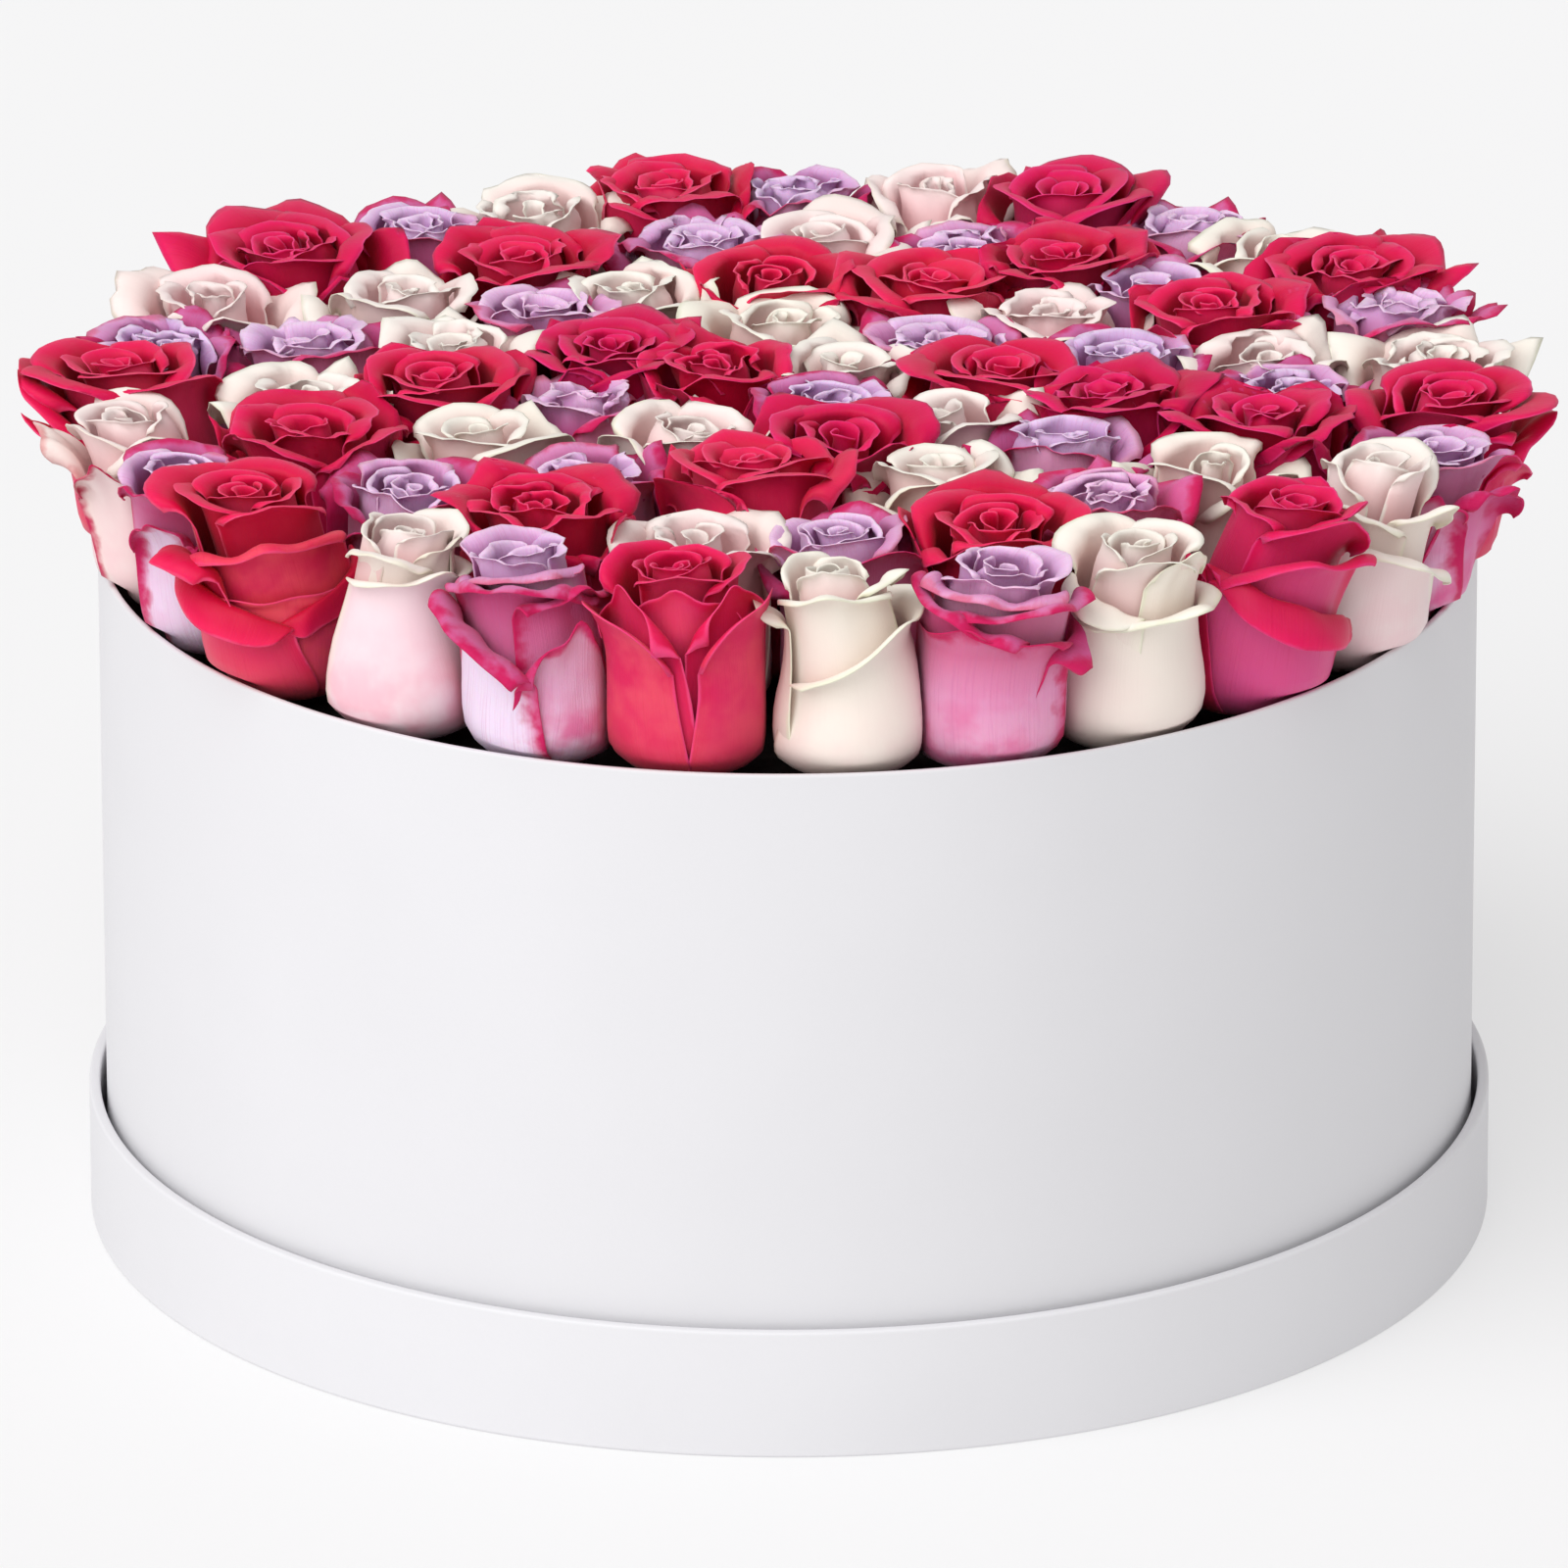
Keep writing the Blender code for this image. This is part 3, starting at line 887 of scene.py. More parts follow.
# %% The habit of the white rose
HABITS["white"] = Habit(
    petals=14,
    reach=0.0226,
    flush=1.0,
    belly=(1.17, 1.08, 1.0, 1.0, 1.0),
    neck=(1.0, 0.90, 0.72, 0.46, 0.15),
    top=(0.62, 0.75, 0.82, 0.86, 0.86),
    lip=(0.0210, 0.0200, 0.0165, 0.0125, 0.0090),
    lean=(8, 0, -14, -18, -10),
    curl=(86, 74, 54, 42, 28),
    side_curl=(1.4, 1.4, 1.2, 0.6, 0.0),
    half=(1.25, 1.2, 1.25, 1.5, 2.0),
    narrow=(0.25, 0.15, 0.08, 0.04, 0.0),
    taper=(0.24, 0.20, 0.14, 0.10, 0.06),
    drop=(0.80, 0.72, 0.55, 0.42, 0.3),
    point=(0.0026, 0.0024, 0.0014, 0.0005, 0.0),
    roll=(85, 75, 50, 30, 0),
    ruffle=(0.0012, 0.0013, 0.0011, 0.0008, 0.0003),
    waves=(1.2, 1.4, 1.5, 1.3, 1.0),
    crumple=(0.0005, 0.0008, 0.0009, 0.0008, 0.0005),
)
print("most petals on a white rose:", HABITS["white"].petals)

# %% [markdown]
# ### The lavender rose
# It is the smallest, and its young petals are ruffled and tightly folded.

# %% The habit of the lavender rose
HABITS["lavender"] = Habit(
    petals=16,
    reach=0.0230,
    flush=1.0,
    belly=(1.08, 1.04, 1.0, 1.0, 1.0),
    neck=(1.0, 0.88, 0.70, 0.46, 0.16),
    top=(0.64, 0.78, 0.85, 0.88, 0.87),
    lip=(0.0195, 0.0165, 0.0130, 0.0105, 0.0075),
    lean=(10, -2, -14, -18, -10),
    curl=(80, 66, 58, 54, 34),
    side_curl=(1.0, 1.0, 0.8, 0.5, 0.0),
    half=(1.22, 1.12, 1.2, 1.4, 2.0),
    narrow=(0.25, 0.12, 0.05, 0.04, 0.0),
    taper=(0.22, 0.16, 0.12, 0.08, 0.05),
    drop=(0.75, 0.62, 0.45, 0.32, 0.2),
    point=(0.0028, 0.0020, 0.0008, 0.0002, 0.0),
    roll=(80, 60, 40, 20, 0),
    ruffle=(0.0012, 0.0017, 0.0019, 0.0017, 0.0009),
    waves=(1.3, 1.7, 1.8, 1.8, 1.4),
    crumple=(0.0006, 0.0009, 0.0010, 0.0010, 0.0007),
)
print("most petals on a lavender rose:", HABITS["lavender"].petals)

# %% [markdown]
# ## Each rose's own nature
# Real roses of one kind still differ. A nature is a record of that: mood says how open the rose is, tone
# how far its colour leans one way, slim how narrow its neck is, crown the share of its height below which
# no petal has its neck, and wild how uneven its petals are. Small random draws then part one petal from
# the next. The four oldest petals are whole. The others start part of the way up, because their lower
# ends are never seen.

# %% Grow one petal
WHOLE_PETALS = 4
WHOLE_GRID = ((8, 8), 15)
GRIDS = ((0.60, (4, 7), 15), (1.01, (3, 6), 13))
BELLY_HEIGHT = 0.0170
YOUNG_START = 0.62
TUCK = 0.045
ROLL_ZONE = 0.0055

Nature = collections.namedtuple("Nature", "mood tone slim crown wild")


def grown_petal(rose, habit, number, age, spin, nature):
    """One petal of a rose, from its habit, the rose's own nature and a few draws."""
    mood, tone, slim, crown, wild = nature
    draw = rose.draws.uniform
    value = {name: at_age(habit, name, age) for name in habit._fields[3:]}
    neck = habit.reach * value["neck"] * draw(0.96, 1.04) * (1 + 0.05 * mood)
    whole = number < WHOLE_PETALS
    rows, columns = WHOLE_GRID if whole else next(grid[1:] for grid in GRIDS if age <= grid[0])
    return Petal(
        turn=spin + number * GOLDEN + draw(-0.16, 0.16),
        belly=neck * value["belly"],
        belly_height=BELLY_HEIGHT,
        neck=neck * slim,
        neck_height=rose.height * max(value["top"], crown) + draw(-0.0018, 0.0018),
        start=0.0 if whole else YOUNG_START,
        lip=value["lip"] * draw(0.88, 1.14) * slim,
        lean=math.radians(value["lean"] + 9 * mood + draw(-6, 6)),
        curl=math.radians(value["curl"]) * (1 + 0.15 * mood) * draw(0.78, 1.2) * slim**2,
        side_curl=value["side_curl"] * draw(0.5, 1.5),
        half=value["half"] * draw(0.94, 1.06),
        narrow=value["narrow"],
        taper=value["taper"] * draw(0.8, 1.2),
        drop=min(value["drop"] * draw(0.85, 1.15), 0.95),
        point=value["point"] * draw(0.2, 3.4) * wild,
        tuck=TUCK,
        roll=math.radians(value["roll"]) * draw(0.3, 1.7),
        roll_zone=ROLL_ZONE * draw(0.8, 1.5),
        skew=draw(-0.18, 0.18),
        slant=draw(-0.0030, 0.0030),
        ruffle=value["ruffle"] * draw(0.5, 2.0) * slim**2 * wild,
        waves=value["waves"] * draw(0.75, 1.25),
        phase=draw(0, math.tau),
        crumple=value["crumple"] * draw(0.4, 1.6) * slim**2 * wild,
        age=age,
        tint=draw(0, 1),
        flush=habit.flush * draw(0, 1),
        pale=draw(0, 0.3),
        tone=tone,
        edged=0.0,
        rows=rows,
        columns=columns,
    )


print("the lip of an outer petal in mm:", {name: round(1000 * HABITS[name].lip[0], 1) for name in HABITS})

# %% [markdown]
# ## The roses at the front
# The outer petals of the roses along the near rim are seen whole, and no two roses wear them alike. A
# sculptor would pull each one by hand. Here the first petals of such a rose take some of their values from
# a short list: which way they face as seen from the camera, where they leave the cup, how far they reach
# and how they curl. All the other values are still those of the habit. The lists are kept by the
# direction in which a rose stands, in degrees round the box, and go from the left end of the near rim to
# its right end. Lengths are in metres and angles in degrees. A petal with a facing of 0 looks at the
# camera, and one with a positive facing is turned to the right.

# %% What can be given in a list
TOWARDS_VIEW = 270.0
IN_DEGREES = ("half", "lean", "curl", "roll", "skew")
FINE_GRID = {"rows": (14, 11), "columns": 31}
EVEN_CURL = 0.45

FrontRose = collections.namedtuple("FrontRose", "mood tone slim crown petals")
FRONT_ROSES = {}
print("angles in degrees are given for:", ", ".join(IN_DEGREES))

# %% Petals for the near rim's left end
FRONT_ROSES[178] = FrontRose(mood=0.3, tone=0.7, slim=1.0, crown=0.0, petals=(
    dict(facing=-76, half=50, neck_height=0.034, lip=0.018, lean=14, curl=50, point=0.006),
    dict(facing=-84, half=56, neck_height=0.048, lip=0.021, lean=16, curl=60, point=0.008),
))
FRONT_ROSES[190] = FrontRose(mood=-0.2, tone=0.9, slim=0.9, crown=0.0, petals=(
    dict(facing=-16, half=44, neck_height=0.039, lip=0.020, lean=0, curl=60, point=0.006, flush=0.3,
         pale=0.3, belly=0.0264, neck=0.0260, roll=60, edged=1.0, slant=-0.004, skew=0, narrow=0.16),
    dict(facing=-88, half=52, neck_height=0.046, lip=0.020, lean=2, curl=60, point=0.004, flush=0.9,
         pale=0.5, slant=0.003, edged=0.6),
))
FRONT_ROSES[204] = FrontRose(mood=-0.3, tone=0.4, slim=0.9, crown=0.0, petals=(
    dict(facing=28, half=42, neck_height=0.039, lip=0.015, lean=2, curl=62, point=0.004, narrow=0.15,
         pale=1.0, flush=0.0, roll=60, slant=-0.003),
    dict(facing=-20, half=46, neck_height=0.043, lip=0.015, lean=2, curl=60, point=0.004, narrow=0.2,
         pale=0.85, flush=0.2, slant=0.004),
))
print("roses set so far:", len(FRONT_ROSES))

# %% Petals for the large red rose at the left
FOLDED = dict(neck_height=0.0405, curl=30, drop=0.88, point=0.001, belly=0.0266, roll=40, ruffle=0.0008,
              skew=0, side_curl=0.0, flush=0.1)
FRONT_ROSES[218] = FrontRose(mood=0.45, tone=0.9, slim=1.0, crown=0.0, petals=(
    dict(facing=12, half=94, neck_height=0.037, lip=0.006, lean=0, curl=50, drop=0.2, point=0.0,
         belly=0.0268, neck=0.0256, flush=1.0, pale=0.35, roll=10, narrow=0.04, ruffle=0.0006, slant=0.0),
    dict(FOLDED, facing=-40, half=66, lip=0.0165, lean=128, slant=-0.0085, neck=0.0260),
    dict(FOLDED, facing=52, half=62, lip=0.0150, lean=125, slant=0.0080, neck=0.0258),
    dict(facing=-72, half=48, neck_height=0.049, lip=0.018, lean=40, curl=95, roll=120, roll_zone=0.008,
         drop=0.6, flush=0.1, belly=0.0240),
    dict(facing=12, half=84, neck_height=0.0530, lip=0.014, lean=10, curl=110, neck=0.0236, flush=0.7,
         belly=0.0235, slant=0.003),
))
print("roses set so far:", len(FRONT_ROSES))

# %% Petals for the white bud and the lavender rose beside it
FRONT_ROSES[234] = FrontRose(mood=-0.7, tone=0.7, slim=0.80, crown=0.86, petals=(
    dict(facing=30, half=125, neck_height=0.0545, lip=0.0085, lean=8, curl=72, drop=0.35, point=0.008,
         belly=0.0274, neck=0.0168, flush=0.8, pale=1.0, roll=15, slant=0.0030, ruffle=0.0008,
         narrow=0.06, skew=0),
    dict(facing=-38, half=84, neck_height=0.0600, lip=0.0130, lean=12, curl=95, belly=0.0200, neck=0.0146,
         flush=0.1, pale=0.1, point=0.001, ruffle=0.0008, roll=10, drop=0.6, slant=0.002, start=0.6),
    dict(facing=66, half=74, neck_height=0.0620, lip=0.0110, lean=-12, curl=60, belly=0.0200, neck=0.0142,
         flush=0.1, pale=0.0, ruffle=0.0008, roll=10, drop=0.5, start=0.6),
))
FRONT_ROSES[248] = FrontRose(mood=0.2, tone=0.6, slim=0.97, crown=0.80, petals=(
    dict(facing=24, half=54, neck_height=0.030, lip=0.020, lean=-2, curl=46, point=0.006, skew=6,
         flush=0.8, pale=0.45, narrow=0.10, drop=0.90, roll=60, belly=0.0264, neck=0.0250, ruffle=0.0008),
    dict(facing=-54, half=58, neck_height=0.0455, lip=0.016, lean=30, curl=90, point=0.002, slant=-0.012,
         flush=0.05, pale=1.0, belly=0.0260, neck=0.0240, drop=0.5, roll=60, ruffle=0.0008),
    dict(facing=40, half=60, neck_height=0.055, lip=0.013, lean=14, curl=100, flush=1.0, pale=0.0,
         neck=0.0226, drop=0.4, ruffle=0.0014),
    dict(facing=-14, half=84, neck_height=0.0590, lip=0.013, lean=16, curl=105, flush=1.0, pale=0.0,
         neck=0.0214, ruffle=0.0020, drop=0.4),
    dict(facing=-20, half=92, neck_height=0.0645, lip=0.0100, lean=34, curl=95, flush=0.2, pale=0.5,
         neck=0.0186, belly=0.0205, ruffle=0.0022, waves=2.6, drop=0.3, roll=10, start=0.4, skew=0),
))
print("roses set so far:", len(FRONT_ROSES))

# %% Petals for the red rose in the middle
SHEATH = dict(half=63, neck_height=0.043, lip=0.025, lean=2, point=0.003, narrow=0.16, drop=0.97,
              taper=0.05, belly=0.0268, roll=28, roll_zone=0.003, tuck=0.0, skew=0, slant=0.0,
              ruffle=0.0006, crumple=0.0002)
INNER = dict(neck_height=0.050, lip=0.017, lean=-14, narrow=0.1, drop=0.9, taper=0.3, belly=0.0240,
             flush=0.1, slant=0.0, skew=0)
FRONT_ROSES[261] = FrontRose(mood=-0.55, tone=0.6, slim=0.92, crown=0.76, petals=(
    dict(SHEATH, facing=-61, curl=48, neck=0.0258, flush=1.0),
    dict(SHEATH, facing=61, curl=52, neck=0.0257, flush=0.8),
    dict(INNER, facing=-44, half=52, curl=40, neck=0.0236),
    dict(INNER, facing=46, half=54, curl=44, neck=0.0232),
    dict(facing=0, half=80, neck_height=0.050, lip=0.017, lean=-22, curl=44, neck=0.0205, flush=0.4,
         slant=0.0, skew=0),
))
print("roses set so far:", len(FRONT_ROSES))

# %% Petals for the white bud and the lavender rose right of the middle
FRONT_ROSES[275] = FrontRose(mood=-0.65, tone=0.25, slim=0.78, crown=0.84, petals=(
    dict(facing=42, half=116, neck_height=0.0425, lip=0.0115, lean=16, curl=60, drop=0.3, point=0.009,
         slant=0.0105, belly=0.0268, neck=0.0205, flush=0.15, pale=0.2, roll=25, narrow=0.05,
         ruffle=0.0007, side_curl=0.3, skew=0),
    dict(facing=-70, half=34, neck_height=0.0545, lip=0.0150, lean=22, curl=55, point=0.004, belly=0.0240,
         neck=0.0176, flush=0.0, roll=20),
    dict(facing=-8, half=94, neck_height=0.0620, lip=0.0090, lean=10, curl=95, belly=0.0205, neck=0.0164,
         ruffle=0.0006, roll=10, flush=0.3, pale=0.15, drop=0.5, start=0.5),
    dict(facing=74, half=60, neck_height=0.0610, lip=0.0115, lean=0, curl=110, belly=0.0205, neck=0.0160,
         flush=0.1, pale=0.0, ruffle=0.0006, roll=10, start=0.5),
))
FRONT_ROSES[287] = FrontRose(mood=0.5, tone=0.75, slim=1.0, crown=0.82, petals=(
    dict(facing=-10, half=78, neck_height=0.0480, lip=0.009, lean=6, curl=50, drop=0.4, flush=0.8,
         pale=0.15, belly=0.0266, neck=0.0262, narrow=0.0, ruffle=0.0014, waves=2.2, roll=20,
         slant=0.0020),
    dict(facing=68, half=50, neck_height=0.0490, lip=0.018, lean=95, curl=35, flush=1.0, pale=0.0,
         ruffle=0.0014, waves=2.2, belly=0.0262, neck=0.0256, slant=0.004, drop=0.5),
    dict(facing=-34, half=74, neck_height=0.0570, lip=0.012, lean=18, curl=105, drop=0.4, flush=0.7,
         pale=0.0, ruffle=0.0018, waves=2.2, neck=0.0236, belly=0.0235, slant=-0.0045, roll=20),
    dict(facing=28, half=78, neck_height=0.0600, lip=0.013, lean=8, curl=100, drop=0.4, flush=0.3,
         pale=0.2, ruffle=0.0016, waves=2.0, neck=0.0220, belly=0.0230, slant=0.0035, roll=20),
    dict(facing=-16, half=88, neck_height=0.0650, lip=0.0100, lean=30, curl=95, drop=0.3, flush=0.3,
         pale=0.4, ruffle=0.0020, waves=2.4, neck=0.0196, belly=0.0215, roll=10, start=0.4, skew=0),
))
print("roses set so far:", len(FRONT_ROSES))

# %% Petals for the last roses on the right
FRONT_ROSES[300] = FrontRose(mood=-0.1, tone=0.3, slim=0.92, crown=0.80, petals=(
    dict(facing=44, half=104, neck_height=0.0480, lip=0.010, lean=12, curl=95, drop=0.35, point=0.009,
         slant=0.0015, belly=0.0268, neck=0.0212, flush=0.1, pale=0.2, ruffle=0.0014, waves=2.0, roll=30,
         narrow=0.05, skew=0),
    dict(facing=-44, half=62, neck_height=0.0560, lip=0.0125, lean=105, curl=25, slant=-0.004,
         neck=0.0196, belly=0.0230, flush=0.1, ruffle=0.0008, roll=15, start=0.4, drop=0.85),
    dict(facing=46, half=54, neck_height=0.0600, lip=0.0145, lean=-2, curl=25, point=0.006, neck=0.0188,
         belly=0.0225, flush=0.5, ruffle=0.0006, roll=10, start=0.4),
))
FRONT_ROSES[315] = FrontRose(mood=-0.5, tone=0.3, slim=0.9, crown=0.76, petals=(
    dict(facing=20, half=74, neck_height=0.0430, lip=0.0185, lean=132, curl=22, point=0.002, slant=-0.010,
         belly=0.0266, neck=0.0264, flush=0.1, pale=1.0, narrow=0.05, drop=0.9, roll=60, roll_zone=0.007,
         ruffle=0.0006, side_curl=0.1, skew=0),
    dict(facing=-62, half=44, neck_height=0.0460, lip=0.012, lean=4, curl=130, roll=140, roll_zone=0.007,
         pale=0.0, flush=0.0, neck=0.0246),
    dict(facing=12, half=80, neck_height=0.0510, lip=0.015, lean=14, curl=95, pale=0.7, flush=0.2,
         neck=0.0238, belly=0.0240, drop=0.5, slant=0.006),
))
FRONT_ROSES[330] = FrontRose(mood=-0.2, tone=0.6, slim=0.88, crown=0.76, petals=(
    dict(facing=28, half=80, neck_height=0.0410, lip=0.0160, lean=52, curl=62, point=0.005, slant=-0.009,
         belly=0.0266, neck=0.0250, flush=0.3, pale=0.6, drop=0.7, roll=30, ruffle=0.0006, skew=0),
    dict(facing=54, half=50, neck_height=0.0520, lip=0.0125, lean=14, curl=80, neck=0.0206, belly=0.0225,
         flush=0.1, ruffle=0.0006, roll=15, start=0.4, drop=0.8, slant=-0.003),
    dict(facing=-26, half=70, neck_height=0.0540, lip=0.0110, lean=4, curl=90, neck=0.0206, belly=0.0230,
         flush=0.1, ruffle=0.0008, roll=15, slant=-0.003, start=0.4),
))
FRONT_ROSES[343] = FrontRose(mood=0.2, tone=0.5, slim=1.0, crown=0.0, petals=(
    dict(facing=8, half=54, neck_height=0.039, lip=0.017, lean=8, curl=60, point=0.005, flush=0.9,
         pale=0.3, skew=-8, slant=0.004),
    dict(facing=60, half=50, neck_height=0.044, lip=0.017, lean=12, curl=75, point=0.004, flush=1.0,
         pale=0.0, slant=-0.004),
    dict(facing=-36, half=52, neck_height=0.049, lip=0.013, lean=0, curl=60, pale=0.6, flush=0.2),
))
FRONT_ROSES[355] = FrontRose(mood=0.3, tone=0.35, slim=1.0, crown=0.0, petals=(
    dict(facing=38, half=62, neck_height=0.036, lip=0.017, lean=8, curl=60, point=0.004, drop=0.6,
         belly=0.0262, neck=0.0258, flush=0.0, pale=0.0, slant=-0.004),
    dict(facing=88, half=58, neck_height=0.045, lip=0.017, lean=12, curl=80, point=0.005, drop=0.6),
    dict(facing=4, half=72, neck_height=0.052, lip=0.016, lean=16, curl=100),
))
print("roses with petals set by hand:", len(FRONT_ROSES))

# %% [markdown]
# ## Using the listed values
# A rose asks for its list by the direction in which it stands from the middle of the box. Its remaining
# petals are held in, so that they don't break through the listed ones.

# %% Change a petal from the list
NEAR_ENOUGH = 4.0
EDGE_RING = 0.180
HELD_ROLL = 0.15
HELD_BELLY = 0.0205


def front_rose(rose):
    """The listed values of a rose at the near rim, or None."""
    if np.linalg.norm(rose.middle) < EDGE_RING:
        return None
    direction = math.degrees(math.atan2(rose.middle[1], rose.middle[0])) % 360
    near = [key for key in FRONT_ROSES if abs(key - direction) < NEAR_ENOUGH]
    return FRONT_ROSES[near[0]] if near else None


def held_in(petal):
    """A petal that stays inside the listed ones: its belly is slimmer and its margins hardly roll."""
    return petal._replace(roll=HELD_ROLL * petal.roll, belly=min(petal.belly, HELD_BELLY), skew=0.0)


def hand_set(petal, changes):
    """A petal with some of its values changed. Angles in the list are in degrees."""
    values = {"start": 0.0, "side_curl": EVEN_CURL, **FINE_GRID, **changes}
    for name in IN_DEGREES:
        if name in changes:
            values[name] = math.radians(changes[name])
    facing = values.pop("facing")
    return petal._replace(turn=math.radians(TOWARDS_VIEW + facing), **values)


print("roses with hand-set petals:", sum(front_rose(rose) is not None for rose in roses))

# %% [markdown]
# ## Pressing the petals into their room
# A petal grown freely would cross into the next rose. Each point is looked at from the rose's middle. Up
# to most of the way to a wall nothing changes, and beyond that the distance is squeezed more and more, so
# that it never passes the wall. The lips on top may lie a little over the neighbours. A bloom is also
# bent over to one side, and those near the rim of the box hang outward over it.

# %% Squeeze and bend
KNEE = 0.92
PIVOT = 0.45
BENDS = (0.1, 1.0)


def squeezed(offset, walls, extra):
    """Presses offsets from a rose's middle back from the walls of its room."""
    for x, y, distance in walls:
        limit = distance + extra
        knee = KNEE * limit
        reach = offset[:, 0] * x + offset[:, 1] * y
        over = np.maximum(reach - knee, 0.0)
        kept = knee + (limit - knee) * (1 - np.exp(-over / (limit - knee)))
        change = np.where(over > 0, kept - reach, 0.0)
        offset = offset + change[:, None] * np.array((x, y))
    return offset


def tilted(points, rose):
    """Bends a bloom over to one side, more and more towards its top. No bloom stands quite upright."""
    angle = rose.tilt[0] * smooth(points[:, 2] / rose.height, *BENDS)
    along = np.array((math.cos(rose.tilt[1]), math.sin(rose.tilt[1])))
    away = points[:, :2] @ along
    pivot = PIVOT * rose.height
    up = points[:, 2] - pivot
    change = away * (np.cos(angle) - 1) + np.maximum(up, 0.0) * np.sin(angle)
    raised_by = -away * np.sin(angle) + np.maximum(up, 0.0) * (np.cos(angle) - 1)
    return np.column_stack([points[:, :2] + change[:, None] * along, points[:, 2] + raised_by])


pressed = squeezed(np.array([[0.030, 0.0]]), [(1, 0, 0.025)], 0.0)
print("30 mm towards a wall 25 mm away becomes", np.round(1000 * pressed[0, 0], 2), "mm")

# %% Plant a bloom
OVERLAP = {"red": 0.0032, "white": 0.0052, "lavender": 0.0056}
MOST_OVERLAP = 0.0072
OVERLAPS_FROM = (0.60, 0.95)
OVERHANG = {"red": 0.009, "white": 0.005, "lavender": 0.005}
LEAST_HANG = 0.1
CLEAR = 0.0004
BELLY_LIMIT = 0.2195
BELLY_KNEE = 0.006
FREE_ABOVE_RIM = 0.060
FREE_FROM = (-0.002, 0.012)
TOP_KNEE = 0.90
HIGHEST = 0.998


def model_walls(rose):
    """The four upright sides of the plain model's own box, as walls round the rose's middle."""
    x, y = rose.middle
    return ((1, 0, cad_high.x - x), (-1, 0, x - cad_low.x), (0, 1, cad_high.y - y), (0, -1, y - cad_low.y))


def planted(rose, points, press=0.0):
    """Moves points of a bloom from its own upright frame to its place in the box. A petal with a
    greater press lies further over its neighbours."""
    share = points[:, 2] / rose.height
    points = tilted(points, rose)
    distance = np.linalg.norm(rose.middle)
    outward = rose.middle / max(distance, SAME_HEIGHT)
    lean = (rose.middle - rose.foot) * (share[:, None] - 1)
    if distance > EDGE_RING:
        hang = OVERHANG[rose.colour] * (LEAST_HANG + (1 - LEAST_HANG) * outward[0] ** 2)
        lean = lean + outward * hang * np.clip(share, 0, 1)[:, None] ** 2
    allowed = np.minimum(OVERLAP[rose.colour] + press, MOST_OVERLAP)
    extra = allowed * smooth(share, *OVERLAPS_FROM) - CLEAR
    offset = squeezed(points[:, :2] + lean, rose.walls, extra)
    offset = squeezed(offset, model_walls(rose), -CLEAR)
    spot = rose.middle + offset
    reach = np.linalg.norm(spot, axis=1)
    ceiling = HIGHEST * rose.height
    knee = TOP_KNEE * ceiling
    over = np.maximum(points[:, 2] - knee, 0.0)
    flat = knee + (ceiling - knee) * (1 - np.exp(-over / (ceiling - knee)))
    height = FOOT + np.where(over > 0, flat, points[:, 2])
    rim = body_sizes[3]
    room = BELLY_LIMIT + FREE_ABOVE_RIM * smooth(height, rim + FREE_FROM[0], rim + FREE_FROM[1])
    knee = room - BELLY_KNEE
    kept = knee + BELLY_KNEE * (1 - np.exp(-np.maximum(reach - knee, 0.0) / BELLY_KNEE))
    spot = spot * np.where(reach > knee, kept / np.maximum(reach, SAME_HEIGHT), 1.0)[:, None]
    return np.column_stack([spot, height])


print("lips may pass a wall by this much in mm:", {name: round(1000 * OVERLAP[name], 1) for name in OVERLAP})

# %% [markdown]
# ## Petal finishes
# A petal's colour runs in soft steps from its base to its tip and changes at its rim, and its inner face
# is deeper than its outer face. Fine veins fan out from the base. The notes that each point carries drive
# all of this, so one finish serves every petal of a variety, whatever its size and shape. Two petals of
# one white rose have a crimson rim: their note, edged, turns it on.

# %% Veins
VEINS_ACROSS = 55.0
VEINS_ALONG = 2.5
VEIN_SHIFT = 40.0


def vein_pattern(tree):
    """Fine streaks that fan out from the base, because they follow the petal's own grid."""
    across = maths(tree, "MULTIPLY", attribute(tree, "across"), VEINS_ACROSS)
    along = maths(tree, "MULTIPLY", attribute(tree, "along"), VEINS_ALONG)
    shift = maths(tree, "MULTIPLY", attribute(tree, "tint"), VEIN_SHIFT)
    return cloudy(tree, combined(tree, across, along, shift), 1.0, 3.0)


print("the vein pattern is drawn over this many noise cells of a petal's width:", round(2 * VEINS_ACROSS))

# %% [markdown]
# ## The recipe of a petal finish
# The recipe goes from the ground colours to what lies over them: the outer face, the inner face, the
# young petals, a pale bleach, a flush in soft patches, the veins, and last the rim. At the end the whole
# is multiplied by the rose's own tone. A blush is the list of colours and widths of one variety.

# %% The recipe
Blush = collections.namedtuple(
    "Blush",
    "outer inner young young_from rim young_rim rim_width veins vein_share flush flush_from flush_to pale"
    " tones relief roughness sheen soft_share",
)
CRIMSON = (0.62, 0.015, 0.10)
EDGED_WIDTH = 0.45
SOFT_DEPTH = 0.002
YOUNG_OVER = 0.35
PATCHES = 60.0
UNEVEN = 120.0
GRAIN = 1400.0
VEINS_SEEN = (0.50, 0.75)


